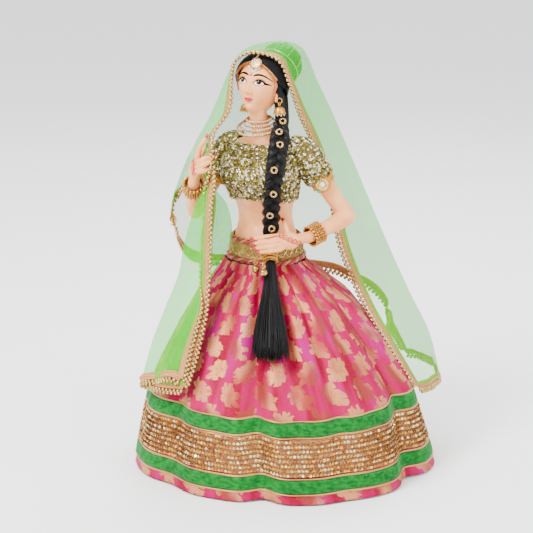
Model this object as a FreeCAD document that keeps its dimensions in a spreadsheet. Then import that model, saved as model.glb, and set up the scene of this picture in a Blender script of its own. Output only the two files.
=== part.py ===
"""A standing doll in Rajasthani bridal dress: a moulded figure on a dowel stand, in a flared skirt,
a sequinned blouse and a net veil that the right hand holds, with the left hand on a long braid.

Millimetres. +Z is up, the figure faces -Y and its left arm is on the +X side. The origin is the
centre of the round base's underside, where the doll stands.
"""
import FreeCAD, Part
import math
import os
import Sketcher
from FreeCAD import Placement, Rotation, Vector

UP = Vector(0, 0, 1)
ACROSS = Vector(1, 0, 0)
doc = FreeCAD.newDocument("doll")
sheet = doc.addObject("Spreadsheet::Sheet", "Sizes")

# Driving dimensions, one cell each.
SIZES = {
    # stand
    "base_radius": 75, "base_thickness": 9, "base_edge": 2,
    "dowel_radius": 6, "dowel_foot": 4, "dowel_top": 232, "glue_gap": 0.05,
    # stiff net petticoat that holds the skirt out
    "petticoat_gap": 3, "petticoat_wall": 1.2, "petticoat_foot": 1, "petticoat_top": 168,
    # skirt and its trims
    "skirt_foot": 0.8, "skirt_top": 181, "skirt_cloth": 1.0, "trim_gap": 0.35, "trim_cloth": 0.9,
    "hem_strip": 8, "ribbon_width": 11.5, "sequin_width": 33.5, "piping_width": 1.4, "trim_space": 0.4,
    # blouse and waist belt
    "blouse_low": 241, "blouse_top": 285, "blouse_cloth": 2.0, "garment_gap": 0.4,
    "belt_low": 189, "belt_width": 15, "belt_cloth": 1.6, "cord_width": 2.6, "cord_cloth": 2.4,
    # figure
    "torso_foot": 183, "neck_seat": 296, "neck_radius": 9.5, "neck_top_radius": 8.6,
    "peg_radius": 4.5, "peg_length": 12,
    "skull_rise": 25.5, "skull_side": 20.5, "skull_fore": 23, "jaw_radius": 12.5, "nose_radius": 2.4,
    "hair_thickness": 3.2, "hair_gap": 0.3, "bun_rise": 18.5, "bun_side": 18.5, "bun_fore": 16.5,
    "bun_cord_radius": 0.7,
    "chain_width": 3, "chain_thickness": 1.1, "tikka_radius": 4.2, "tikka_thickness": 1.8,
    "bindi_radius": 1.1, "nose_pin_radius": 1.1,
    "hook_radius": 2.3, "hook_wire": 0.45, "drop_radius": 5.2, "drop_height": 6.4, "drop_wall": 0.8,
    "drop_inside": 3.4, "drop_pearl": 1.3,
    "shoulder_radius": 9.3, "elbow_radius": 7.8, "wrist_radius": 5.4, "pin_radius": 1.8,
    "wrist_peg_radius": 2, "wrist_peg_length": 6,
    "palm_width": 7.6, "palm_thickness": 4.4, "finger_radius": 2.2, "tip_radius": 1.7,
    # jewellery of the arms and neck
    "sleeve_radius": 13.4, "sleeve_length": 22, "armlet_width": 5, "armlet_wall": 1.2,
    "medal_radius": 6, "medal_thickness": 1.8, "kada_inside": 7.4, "kada_wall": 1.2,
    "kada_width": 12, "rim_bead": 1.3, "necklace_bead": 1.25,
    # braid, tassel and bells
    "braid_width": 8, "braid_thickness": 5.4, "flower_radius": 3.6, "flower_depth": 1.6,
    "tie_radius": 5.6, "tie_bead": 1.4, "tassel_neck": 4.2, "tassel_foot": 16, "tassel_depth": 5,
    "bell_radius": 3.6, "bell_wall": 0.45, "bell_slot": 0.9, "pellet_radius": 1.2, "bell_wire": 0.5,
    # veil
    "veil_cloth": 0.8, "lace_width": 6.5, "lace_cloth": 0.9,
}
for row, (alias, value) in enumerate(SIZES.items(), start=1):
    sheet.set(f"A{row}", alias)
    sheet.set(f"B{row}", str(value))
    sheet.setAlias(f"B{row}", alias)
doc.recompute()

# Level outlines of the body: height, centre x, centre y, half-width, half-depth.
SKIRT = [(0, 18, -2, 137, 131), (76, 12, -1.5, 122, 117), (120, 8, -1, 100, 95),
         (150, 4, -1, 77, 73), (170, 2, -1, 53, 50), (183, 0, -2, 36, 31)]
TORSO = [(183, 1, -3, 31, 25), (205, 1, -3, 28, 22), (222, 0, -2, 24.5, 17), (240, 0, -5, 27, 21),
         (262, -1, -8, 32, 27), (278, -1, -5, 33, 21), (290, 0, -2, 27, 13), (297, 1, -1, 11, 10)]

HEAD = Vector(-0.8, -3, 340.5)
HEAD_TURN = -10     # degrees about Z, towards the figure's right
CHIN = Vector(-3.1, -13.5, 329)
NECK = Vector(1, -1, 296)
NECK_TOP = Vector(-2, -7, 319)
BUN = Vector(4, 24.5, 354.8)
SHOULDER = {"left": (37, 1, 279), "right": (-37, 1, 279)}
ELBOW = {"left": (71, 18, 224), "right": (-63, -16, 224)}
WRIST = {"left": (50, -20, 211), "right": (-50, -45, 256)}
EAR = {"left": (16.5, -8.5, 328), "right": (-20, -0.5, 327)}
BRAID = [(17, -6, 306), (24, -27, 290), (27, -40, 272), (22, -36, 246), (18, -29, 226),
         (17.5, -29.5, 212), (19.5, -34, 201)]
TIE = Vector(21, -36.5, 194)
TASSEL_END = Vector(51, -101, 121)
BELLS = {"left": (23.5, -56.5, 184.5), "right": (12.5, -49, 185)}

# The veil, from the corner under the right hand, over the head, to the other corner. Each row
# crosses the cloth from its front edge to its back edge.
VEIL = [
    [(-25, -119, 93), (-49, -113, 90), (-74, -100, 88), (-62, -103, 92), (-38, -113, 100), (-28, -115, 98)],
    [(-22, -107, 118), (-45, -102, 119), (-71, -86, 118), (-60, -85, 121), (-38, -96, 124), (-27, -101, 124)],
    [(-21, -91, 150), (-40, -87, 150), (-63, -74, 150), (-55, -66, 151), (-34, -75, 154), (-24, -84, 155)],
    [(-23, -80, 179), (-38, -75, 178), (-56, -64, 176), (-47, -55, 177), (-25, -54, 179), (-26, -70, 179)],
    [(-26, -71, 209), (-36, -68, 209), (-51, -61, 207), (-43, -50, 208), (-14, -41, 208), (-27, -61, 210)],
    [(-30, -60, 238), (-35, -58, 237), (-45, -54, 236), (-37, -46, 236), (-17, -42, 237), (-29, -51, 237)],
    [(-30, -55, 259), (-33, -54, 259), (-36, -52, 257), (-34, -48, 257), (-29, -47, 257), (-29, -51, 259)],
    [(-31, -53, 284), (-34, -51, 284), (-36, -48, 283), (-34, -44, 282), (-29, -44, 281), (-29, -49, 283)],
    [(-31, -50, 302), (-42, -41, 298), (-53, -31, 290), (-62, -21, 278), (-71, -16, 262), (-78, -16, 244)],
    [(-26, -32, 319), (-39, -27, 311), (-55, -19, 297), (-71, -17, 270), (-86, -20, 226), (-84, -19, 210)],
    [(-24, -21, 347), (-36, -9, 342), (-54, 1, 310), (-75, 5, 266), (-88, 3, 223), (-84, 5, 181)],
    [(-17, -19, 363), (-20, 2, 367), (-25, 30, 356), (-50, 32, 295), (-66, 28, 228), (-70, 26, 171)],
    [(-4, -15, 373.5), (-6, 25, 378), (-8, 49, 370.5), (-30, 50, 299), (-48, 46, 232), (-55, 43, 168)],
    [(18, -5, 367), (18, 26, 377), (18, 49, 367), (18, 66, 309), (15, 78, 232), (19, 82, 161)],
    [(25.5, 2, 344), (27, 28, 355), (27, 47, 348), (37, 68, 291), (42, 83, 219), (45, 89, 153)],
    [(29, 18, 315), (33, 33, 322), (40, 48, 316), (54, 69, 255), (63, 87, 192), (66, 92, 144)],
    [(38, 32, 282), (44, 44, 283), (57, 53, 276), (66, 70, 224), (76, 88, 167), (78, 95, 130)],
    [(52, 39, 232), (61, 49, 234), (75, 59, 231), (81, 76, 186), (82, 90, 142), (80, 97, 118)],
    [(62, 37, 193), (74, 49, 196), (91, 64, 192), (93, 82, 152), (90, 96, 122), (80, 103, 108)],
    [(85, 33, 147), (96, 49, 154), (111, 68, 149), (108, 92, 118), (96, 106, 102), (83, 112, 96)],
    [(111, 27, 113), (119, 47, 115), (128, 74, 112), (119, 97, 96), (103, 111, 88), (86, 120, 84)],
    [(137, 30, 73), (140, 50, 71), (138, 79, 70), (126, 101, 74), (108, 115, 76), (88, 124, 75)],
]

PARTS = []


def size(alias):
    """A driving dimension, read back from the sheet."""
    return float(getattr(sheet, alias))


def cell(alias):
    """A driving dimension as an expression in millimetres."""
    return f"Sizes.{alias} * 1 mm"


def bind(obj, **rules):
    """Ties properties of an object to expressions on the sheet's cells."""
    for name, rule in rules.items():
        obj.setExpression(name, rule)
    return obj


def part(obj, label):
    """Marks an object as a sub-part; its label names its file."""
    obj.Label = label
    PARTS.append(obj)
    return obj


def aimed(at, direction):
    """The place at a point whose +Z runs along a direction."""
    return Placement(Vector(*at), Rotation(UP, Vector(*direction)))


# ---- primitives and booleans --------------------------------------------------------------------
def cylinder(name, place, radius, height):
    obj = bind(doc.addObject("Part::Cylinder", name), Radius=radius, Height=height)
    obj.Placement = place
    return obj


def limb(name, start, end, start_radius, end_radius):
    """A tapered round length from one point to another."""
    run = Vector(*end) - Vector(*start)
    obj = bind(doc.addObject("Part::Cone", name), Radius1=start_radius, Radius2=end_radius)
    obj.Height = run.Length
    obj.Placement = aimed(start, run)
    return obj


def ball(name, at, radius):
    obj = bind(doc.addObject("Part::Sphere", name), Radius=radius)
    obj.Placement.Base = Vector(*at)
    return obj


def egg(name, place, rise, side, fore):
    """An ellipsoid, given half its height, width and depth."""
    obj = bind(doc.addObject("Part::Ellipsoid", name), Radius1=rise, Radius2=side, Radius3=fore)
    obj.Angle1 = -90
    obj.Placement = place
    return obj


def ring(name, place, radius, thickness):
    obj = bind(doc.addObject("Part::Torus", name), Radius1=radius, Radius2=thickness)
    obj.Placement = place
    return obj


def block(name, place, length, width, height):
    """A box centred on its place in X and Y."""
    obj = doc.addObject("Part::Box", name)
    obj.Length, obj.Width, obj.Height = length, width, height
    obj.Placement = place.multiply(Placement(Vector(-length / 2, -width / 2, 0), Rotation()))
    return obj


def fuse(name, objects):
    obj = doc.addObject("Part::MultiFuse", name)
    obj.Shapes = list(objects)
    return obj


def cut(name, base, tool):
    obj = doc.addObject("Part::Cut", name)
    obj.Base = base
    obj.Tool = tool
    return obj


def common(name, first, second):
    obj = doc.addObject("Part::MultiCommon", name)
    obj.Shapes = [first, second]
    return obj


def group(name, objects):
    """Separate solids kept together as one node."""
    obj = doc.addObject("Part::Compound", name)
    obj.Links = list(objects)
    return obj


# ---- lofted bodies and the garments round them --------------------------------------------------
def stack(name, levels, grow="0"):
    """A solid lofted through level ellipses, each grown outwards by the expression grow."""
    sections = []
    for k, (height, x, y, wide, deep) in enumerate(levels):
        major, minor, turn = (wide, deep, 0) if wide >= deep else (deep, wide, 90)
        obj = doc.addObject("Part::Ellipse", f"{name}_level{k}")
        bind(obj, MajorRadius=f"({major} + {grow}) * 1 mm", MinorRadius=f"({minor} + {grow}) * 1 mm")
        obj.Placement = Placement(Vector(x, y, height), Rotation(UP, turn))
        sections.append(obj)
    body = doc.addObject("Part::Loft", name)
    body.Sections = sections
    body.Solid = True
    return body


def sleeve_of_cloth(name, levels, gap, cloth, low, high):
    """Cloth of a thickness, a gap outside a stacked body, between two heights."""
    outer = stack(f"{name}_outer", levels, f"{gap} + {cloth}")
    inner = stack(f"{name}_inner", levels, gap)
    wall = cut(f"{name}_wall", outer, inner)
    slab = doc.addObject("Part::Box", f"{name}_slab")
    slab.Length = slab.Width = 400
    bind(slab, Height=f"({high} - ({low})) * 1 mm")
    slab.Placement.Base = Vector(-200, -200, 0)
    slab.setExpression("Placement.Base.z", f"({low}) * 1 mm")
    return common(name, wall, slab)


# ---- PartDesign helpers -------------------------------------------------------------------------
def body_named(name):
    return doc.addObject("PartDesign::Body", name)


def sketch_on(body, name, role="XY_Plane", height=0):
    """A sketch on one of the body's own origin planes."""
    plane = next(f for f in body.Origin.OriginFeatures if f.Role == role)
    sketch = body.newObject("Sketcher::SketchObject", name)
    sketch.AttachmentSupport = (plane, "")
    sketch.MapMode = "FlatFace"
    sketch.AttachmentOffset = Placement(Vector(0, 0, height), Rotation())
    return sketch


def circle_in(sketch, radius):
    """A circle about the sketch's origin, its radius tied to an expression."""
    sketch.addGeometry(Part.Circle(Vector(), UP, 1))
    last = len(sketch.Geometry) - 1
    sketch.addConstraint(Sketcher.Constraint("Coincident", last, 3, -1, 1))
    at = sketch.addConstraint(Sketcher.Constraint("Radius", last, 1))
    sketch.setExpression(f"Constraints[{at}]", radius)
    return sketch


def outline_in(sketch, points):
    """A closed outline of straight lines."""
    for k, (x, y) in enumerate(points):
        x2, y2 = points[(k + 1) % len(points)]
        sketch.addGeometry(Part.LineSegment(Vector(x, y, 0), Vector(x2, y2, 0)))
    for k in range(len(points)):
        sketch.addConstraint(Sketcher.Constraint("Coincident", k, 2, (k + 1) % len(points), 1))
    return sketch


# ---- the stand ----------------------------------------------------------------------------------
def make_base():
    body = body_named("base")
    disc = body.newObject("PartDesign::Pad", "base_pad")
    disc.Profile = circle_in(sketch_on(body, "base_circle"), cell("base_radius"))
    disc.setExpression("Length", cell("base_thickness"))
    doc.recompute()
    socket = body.newObject("PartDesign::Pocket", "base_socket")
    seat = sketch_on(body, "base_socket_circle")
    seat.setExpression("AttachmentOffset.Base.z", cell("base_thickness"))
    socket.Profile = circle_in(seat, "(Sizes.dowel_radius + Sizes.glue_gap) * 1 mm")
    socket.setExpression("Length", "(Sizes.base_thickness - Sizes.dowel_foot) * 1 mm")
    doc.recompute()
    rim = [f"Edge{k + 1}" for k, edge in enumerate(body.Shape.Edges)
           if edge.Length > 6 * size("base_radius") and edge.BoundBox.ZMin > 1]
    soft = body.newObject("PartDesign::Fillet", "base_fillet")
    soft.Base = (socket, rim)
    soft.setExpression("Radius", cell("base_edge"))
    return part(body, "base_disc")


def make_dowel():
    body = body_named("dowel")
    rod = body.newObject("PartDesign::Pad", "dowel_pad")
    rod.Profile = circle_in(sketch_on(body, "dowel_circle"), cell("dowel_radius"))
    rod.setExpression("Length", "(Sizes.dowel_top - Sizes.dowel_foot) * 1 mm")
    body.setExpression("Placement.Base.z", cell("dowel_foot"))
    return part(body, "stand_dowel")


# ---- skirt, petticoat, belt and blouse ----------------------------------------------------------
def make_skirt():
    inside = "-Sizes.petticoat_gap - Sizes.petticoat_wall"
    part(sleeve_of_cloth("petticoat_shell", SKIRT, inside, "Sizes.petticoat_wall",
                         "Sizes.petticoat_foot", "Sizes.petticoat_top"), "petticoat")
    part(sleeve_of_cloth("skirt_shell", SKIRT, "-Sizes.skirt_cloth", "Sizes.skirt_cloth",
                         "Sizes.skirt_foot", "Sizes.skirt_top"), "skirt")


def make_trims():
    """Ribbons and the sequin band round the skirt, with a piping beside each ribbon's edge."""
    low = size("skirt_foot") + size("hem_strip")
    space, pipe = size("trim_space"), size("piping_width")
    pipings = []

    def band(name, at, width, label=None):
        shell = sleeve_of_cloth(name, SKIRT, "Sizes.trim_gap", "Sizes.trim_cloth", at, f"{at} + {width}")
        if label:
            part(shell, label)
        else:
            pipings.append(shell)

    for name, alias, label in (("low_ribbon", "ribbon_width", "ribbon_lower"),
                               ("sequins", "sequin_width", "sequin_band"),
                               ("high_ribbon", "ribbon_width", "ribbon_upper")):
        band(f"{name}_piping", low, "Sizes.piping_width")
        low = round(low + pipe + space, 3)
        band(name, low, f"Sizes.{alias}", label)
        low = round(low + size(alias) + space, 3)
    band("top_piping", low, "Sizes.piping_width")
    part(group("pipings", pipings), "gold_piping")


def make_belt():
    low, width = size("belt_low"), size("cord_width")
    space = size("trim_space")
    part(sleeve_of_cloth("belt", TORSO, "Sizes.garment_gap", "Sizes.belt_cloth",
                         "Sizes.belt_low", "Sizes.belt_low + Sizes.belt_width"), "waist_belt")
    rows = (("belt_cord_low", low - width - space, "waist_cord_lower"),
            ("belt_cord_high", low + size("belt_width") + space, "waist_cord_upper"))
    for name, at, label in rows:
        part(sleeve_of_cloth(name, TORSO, "Sizes.garment_gap", "Sizes.cord_cloth",
                             at, f"{at} + Sizes.cord_width"), label)


def make_blouse():
    shell = sleeve_of_cloth("blouse", TORSO, "Sizes.garment_gap", "Sizes.blouse_cloth",
                            "Sizes.blouse_low", "Sizes.blouse_top")
    holes = [limb(f"arm_hole_{side}", SHOULDER[side], ELBOW[side],
                  "(Sizes.shoulder_radius + 1.2) * 1 mm", "(Sizes.elbow_radius + 1.2) * 1 mm")
             for side in SHOULDER]
    caps = [ball(f"arm_cap_{side}", SHOULDER[side], "(Sizes.shoulder_radius + 1.2) * 1 mm")
            for side in SHOULDER]
    part(cut("blouse_open", shell, fuse("arm_holes", holes + caps)), "blouse_body")


def make_sleeves():
    """A short puffed sleeve round each upper arm, from outside the blouse's arm hole."""
    for side in SHOULDER:
        start, end = Vector(*SHOULDER[side]), Vector(*ELBOW[side])
        run = (end - start).normalize()
        at = start + run * 3
        out = limb(f"sleeve_out_{side}", at, at + run * size("sleeve_length"),
                   cell("sleeve_radius"), "(Sizes.sleeve_radius - 0.8) * 1 mm")
        clear = limb(f"sleeve_in_{side}", at - run, at + run * (size("sleeve_length") + 1),
                     "(Sizes.sleeve_radius - 2) * 1 mm", "(Sizes.sleeve_radius - 2.8) * 1 mm")
        tube = cut(f"sleeve_tube_{side}", out, clear)
        chest = stack(f"sleeve_chest_{side}", TORSO, "Sizes.garment_gap + Sizes.blouse_cloth + 0.4")
        part(cut(f"sleeve_{side}_cut", tube, chest), f"sleeve_{side}")


# ---- torso, neck and head -----------------------------------------------------------------------
def make_torso():
    trunk = stack("trunk", TORSO)
    bore = cylinder("dowel_bore", Placement(Vector(0, 0, size("torso_foot") - 1), Rotation()),
                    "(Sizes.dowel_radius + Sizes.glue_gap) * 1 mm",
                    "(Sizes.dowel_top - Sizes.torso_foot + 1 + Sizes.glue_gap) * 1 mm")
    socket = cylinder("neck_bore", Placement(NECK - UP * size("peg_length"), Rotation()),
                      "(Sizes.peg_radius + Sizes.glue_gap) * 1 mm", "(Sizes.peg_length + 4) * 1 mm")
    pins = [cylinder(f"pin_bore_{side}", shoulder_pin_place(side),
                     "(Sizes.pin_radius + Sizes.glue_gap) * 1 mm", "26 mm") for side in SHOULDER]
    seat = limb("neck_seat", NECK, NECK_TOP, "(Sizes.neck_radius + Sizes.glue_gap) * 1 mm",
                "(Sizes.neck_top_radius + Sizes.glue_gap) * 1 mm")
    bored = cut("torso_bored", trunk, fuse("torso_bores", [bore, socket, seat] + pins))
    tops = [ball(f"shoulder_seat_{side}", SHOULDER[side], "(Sizes.shoulder_radius + 0.1) * 1 mm")
            for side in SHOULDER]
    limbs = [limb(f"arm_seat_{side}", SHOULDER[side], ELBOW[side],
                  "(Sizes.shoulder_radius + 0.1) * 1 mm", "(Sizes.elbow_radius + 0.1) * 1 mm")
             for side in SHOULDER]
    part(cut("torso_cut", bored, fuse("shoulder_seats", tops + limbs)), "torso")


def shoulder_pin_place(side):
    """Where a shoulder pin starts, inside the arm, and that it points towards the spine."""
    out = 1 if side == "left" else -1
    at = Vector(*SHOULDER[side]) + Vector(2 * out, 0, 0)
    return Placement(at, Rotation(UP, Vector(-out, 0, 0)))


def head_place(centre, lift=0):
    """A place in the head's own pose: turned a little to the figure's right."""
    turn = Rotation(UP, HEAD_TURN)
    return Placement(centre, turn.multiply(Rotation(ACROSS, lift)))


def make_head():
    skull = egg("skull", head_place(HEAD), cell("skull_rise"), cell("skull_side"), cell("skull_fore"))
    jaw = egg("jaw", head_place(CHIN), cell("jaw_radius"), "(Sizes.jaw_radius - 0.5) * 1 mm",
              "(Sizes.jaw_radius + 0.5) * 1 mm")
    neck = limb("neck", NECK, NECK_TOP, cell("neck_radius"), cell("neck_top_radius"))
    peg = cylinder("neck_peg", Placement(NECK - UP * size("peg_length"), Rotation()),
                   cell("peg_radius"), "(Sizes.peg_length + 2) * 1 mm")
    nose = egg("nose", head_place(Vector(-5, -26, 338.5), -18), "(Sizes.nose_radius * 2) * 1 mm",
               cell("nose_radius"), "(Sizes.nose_radius * 1.2) * 1 mm")
    part(fuse("head_all", [skull, jaw, neck, peg, nose]), "head")


def hair_shell(name, more):
    """The outside of the hair cap, grown by an expression."""
    rule = "(Sizes.{} + Sizes.hair_gap + Sizes.hair_thickness + {}) * 1 mm"
    return egg(name, head_place(HEAD), *(rule.format(a, more) for a in ("skull_rise", "skull_side",
                                                                      "skull_fore")))


def make_hair():
    rule = "(Sizes.{} + Sizes.hair_gap) * 1 mm"
    inner = egg("hair_inside", head_place(HEAD),
                *(rule.format(a) for a in ("skull_rise", "skull_side", "skull_fore")))
    cap = cut("hair_wall", hair_shell("hair_outside", "0"), inner)
    # the face is left open in front of a leaning plane, and the neck below
    face = block("face_opening", head_place(HEAD + Vector(-2, -30, -40), 12), 80, 54, 60)
    low = block("neck_opening", head_place(HEAD + Vector(0, 0, -40)), 80, 80, 27)
    part(cut("hair_cut", cap, fuse("hair_openings", [face, low])), "hair_cap")


def make_bun():
    place = Placement(BUN, Rotation(ACROSS, -20))
    bun = egg("bun_egg", place, cell("bun_rise"), cell("bun_side"), cell("bun_fore"))
    part(cut("bun_cut", bun, hair_shell("bun_clear", "0.3")), "bun_cover")
    across = place.multiply(Placement(Vector(0, 2, 0), Rotation(ACROSS, 90)))
    cords = [ring("bun_ring", across, "(Sizes.bun_side + Sizes.bun_cord_radius + 0.3) * 1 mm",
                  cell("bun_cord_radius"))]
    part(cut("bun_cord_cut", cords[0], hair_shell("cord_clear", "0.3")), "bun_cord")


def make_headdress():
    """The jewelled string round the face, its pendant on the forehead, the bindi and the nose pin."""
    rule = "(Sizes.{} + {}) * 1 mm"
    string = []
    for k, more in enumerate(("Sizes.hair_gap + Sizes.chain_thickness", "Sizes.hair_gap")):
        string.append(egg(f"string_{k}", head_place(HEAD),
                          *(rule.format(a, more) for a in ("skull_rise", "skull_side", "skull_fore"))))
    wall = cut("string_wall", string[0], string[1])
    slab = block("string_slab", head_place(HEAD), 80, 80, size("chain_width"))
    slab.Placement = head_place(HEAD + Vector(-1.5, -10, 0), 90).multiply(
        Placement(Vector(-40, -6, 0), Rotation()))
    band = common("string_band", wall, slab)
    part(cut("string_cut", band, doc.getObject("hair_cut")), "matha_patti")
    front = Rotation(UP, HEAD_TURN).multVec(Vector(0, -1, 0))
    for name, rise, radius, thick, gap, label in (
            ("tikka", 17, "tikka_radius", "tikka_thickness", 1.6, "maang_tikka"),
            ("bindi", 9, "bindi_radius", None, 0.3, "bindi")):
        fore = size("skull_fore") * math.sqrt(1 - (rise / size("skull_rise")) ** 2)
        at = HEAD + UP * rise + front * (fore + gap)
        lean = math.degrees(math.atan2(rise * size("skull_fore"), fore * size("skull_rise") * 1.1))
        place = head_place(at, 90 - lean * 0.9)
        height = cell(thick) if thick else "0.6 mm"
        part(cylinder(name, place, cell(radius), height), label)
    part(ball("nose_stud", (-0.9, -27.8, 336.5), cell("nose_pin_radius")), "nose_pin")


def make_earrings():
    """A wire hook at each ear, with a domed drop hanging from it."""
    hooks = []
    for side, at in EAR.items():
        spot = Vector(*at)
        hooks.append(ring(f"hook_{side}", Placement(spot, Rotation(ACROSS, 90)),
                          cell("hook_radius"), cell("hook_wire")))
        body = body_named(f"drop_{side}")
        wide, tall = size("drop_radius"), size("drop_height")
        inside, wall = size("drop_inside"), size("drop_wall")
        profile = sketch_on(body, f"drop_outline_{side}", "XZ_Plane")
        outline_in(profile, [(0, tall), (wide * 0.35, tall * 0.97), (wide * 0.72, tall * 0.72),
                             (wide * 0.95, tall * 0.3), (wide, 0), (wide - wall, 0),
                             (wide - wall * 1.2, inside * 0.5), (wide * 0.45, inside), (0, inside)])
        dome = body.newObject("PartDesign::Revolution", f"drop_turned_{side}")
        dome.Profile = profile
        dome.ReferenceAxis = (profile, ["V_Axis"])
        dome.Angle = 360
        body.Placement.Base = spot - UP * (tall + 4.9)
        stem = ring(f"drop_eye_{side}", Placement(spot - UP * 3,
                                                  Rotation(Vector(0, 1, 0), 90)),
                    "1.7 mm", cell("hook_wire"))
        pearl = ball(f"drop_pearl_{side}", body.Placement.Base, cell("drop_pearl"))
        wire = limb(f"drop_wire_{side}", body.Placement.Base, body.Placement.Base + UP * 4, "0.4 mm", "0.5 mm")
        doc.recompute()
        part(fuse(f"drop_all_{side}", [body, stem, pearl, wire]), f"jhumka_{side}")
    part(group("hooks", hooks), "ear_hooks")


# ---- arms and hands -----------------------------------------------------------------------------
def make_arm(side):
    shoulder, elbow, wrist = (Vector(*table[side]) for table in (SHOULDER, ELBOW, WRIST))
    run = (wrist - elbow).normalize()
    pieces = [ball(f"shoulder_{side}", shoulder, cell("shoulder_radius")),
              limb(f"upper_{side}", shoulder, elbow, cell("shoulder_radius"), cell("elbow_radius")),
              ball(f"elbow_{side}", elbow, cell("elbow_radius")),
              limb(f"fore_{side}", elbow, wrist, cell("elbow_radius"), cell("wrist_radius"))]
    whole = fuse(f"arm_all_{side}", pieces)
    pin = cylinder(f"arm_pin_bore_{side}", shoulder_pin_place(side),
                   "(Sizes.pin_radius + Sizes.glue_gap) * 1 mm", "26 mm")
    depth = size("wrist_peg_length") + size("glue_gap")
    peg = cylinder(f"wrist_bore_{side}", aimed(wrist - run * depth, run),
                   "(Sizes.wrist_peg_radius + Sizes.glue_gap) * 1 mm", f"{depth + 2} mm")
    part(cut(f"arm_cut_{side}", whole, fuse(f"arm_bores_{side}", [pin, peg])), f"{side}_arm")
    return run


def finger(name, points):
    """A finger of straight bones with rounded joints."""
    pieces = [ball(f"{name}_root", points[0], cell("finger_radius"))]
    last = len(points) - 1
    for k in range(last):
        far = "tip_radius" if k == last - 1 else "finger_radius"
        near = "(Sizes.finger_radius + 0.05) * 1 mm"
        pieces.append(limb(f"{name}_bone{k}", points[k], points[k + 1], near, cell(far)))
        pieces.append(ball(f"{name}_joint{k}", points[k + 1], cell(far)))
    return pieces


def make_hand(side, run, palm_at, palm_turn, fingers):
    """A hand with its peg in the forearm: a flat palm and the fingers, each a list of points."""
    wrist = Vector(*WRIST[side])
    heel = limb(f"heel_{side}", wrist, palm_at, cell("wrist_radius"), "4.8 mm")
    pieces = [cylinder(f"hand_peg_{side}", aimed(wrist - run * size("wrist_peg_length"), run),
                       cell("wrist_peg_radius"), f"{size('wrist_peg_length') + 3} mm"),
              cut(f"heel_cut_{side}", heel, doc.getObject(f"fore_{side}")),
              egg(f"palm_{side}", Placement(Vector(*palm_at), palm_turn), "9.5 mm",
                  cell("palm_width"), cell("palm_thickness"))]
    for k, points in enumerate(fingers):
        pieces += finger(f"finger_{side}{k}", points)
    part(fuse(f"hand_all_{side}", pieces), f"{side}_hand")


def make_hands():
    run = make_arm("left")
    palm = (38, -34, 209.5)
    along = Vector(-0.74, -0.62, -0.1)
    turn = Rotation(UP, along)
    roots = [(31, -40, 214.5), (30.5, -41, 210.5), (31, -41, 206.5), (32, -40, 203)]
    tips = [(9.5, -46.5, 212), (10.5, -47, 207.5), (12, -47, 203.3), (15, -46, 199.6)]
    fingers = []
    for root, tip in zip(roots, tips):
        bend = ((root[0] + tip[0]) / 2, (root[1] + tip[1]) / 2 - 2.2, (root[2] + tip[2]) / 2 + 0.4)
        fingers.append([root, bend, tip])
    fingers.append([(36, -31, 214), (31, -26, 220), (27, -22.5, 224)])
    make_hand("left", run, palm, turn, fingers)

    run = make_arm("right")
    palm = (-46, -48, 270)
    turn = Rotation(UP, Vector(0.15, -0.1, 0.98)).multiply(Rotation(UP, 65))
    fingers = [[(-44, -49, 277), (-39, -54, 290), (-33, -52, 299)],
               [(-43, -50, 275), (-33, -58, 281), (-26, -54, 283)],
               [(-43, -51, 272), (-33, -59, 276), (-26, -55, 279)],
               [(-43, -51, 268), (-35, -58, 270), (-29, -55, 272)],
               [(-46, -46, 273), (-41, -43, 284), (-36, -45, 290)]]
    make_hand("right", run, palm, turn, fingers)
    pins = [cylinder(f"shoulder_pin_{side}", shoulder_pin_place(side), cell("pin_radius"), "25.9 mm")
            for side in SHOULDER]
    part(group("pins", pins), "shoulder_pins")


# ---- jewellery ----------------------------------------------------------------------------------
def make_arm_jewellery():
    for side in SHOULDER:
        shoulder, elbow, wrist = (Vector(*table[side]) for table in (SHOULDER, ELBOW, WRIST))
        run = (elbow - shoulder).normalize()
        at = shoulder + run * 28.5
        place = aimed(at, run)
        radius = "(Sizes.shoulder_radius + {}) * 1 mm"
        outer = cylinder(f"armlet_out_{side}", place, radius.format("0.5 + Sizes.armlet_wall"),
                         cell("armlet_width"))
        inner = cylinder(f"armlet_in_{side}", place, radius.format("0.5"), cell("armlet_width"))
        front = Vector(0.35, -0.93, 0) if side == "left" else Vector(-0.45, -0.85, 0)
        front = (front - run * front.dot(run)).normalize()
        centre = at + run * (size("armlet_width") / 2) + front * (size("shoulder_radius") + 0.9)
        medal = cylinder(f"medal_{side}", aimed(centre, front), cell("medal_radius"), cell("medal_thickness"))
        band = fuse(f"armlet_all_{side}", [outer, medal])
        part(cut(f"armlet_cut_{side}", band, inner), f"armlet_{side}")
        # the bangle stands clear of the forearm, so that it turns
        run = (wrist - elbow).normalize()
        start = wrist - run * (size("kada_width") + 1.5)
        radius = "(Sizes.kada_inside + {}) * 1 mm"
        outer = cylinder(f"kada_out_{side}", aimed(start, run), radius.format("Sizes.kada_wall"),
                         cell("kada_width"))
        inner = cylinder(f"kada_in_{side}", aimed(start, run), radius.format("0"), cell("kada_width"))
        part(cut(f"kada_{side}", outer, inner), f"bangle_{side}")
        rims = [ring(f"rim_{side}{k}", aimed(start + run * size("kada_width") * k, run),
                     radius.format("Sizes.kada_wall + Sizes.rim_bead + 0.1"), cell("rim_bead"))
                for k in (0.12, 0.88)]
        part(group(f"rims_{side}", rims), f"bangle_beads_{side}")


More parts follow.
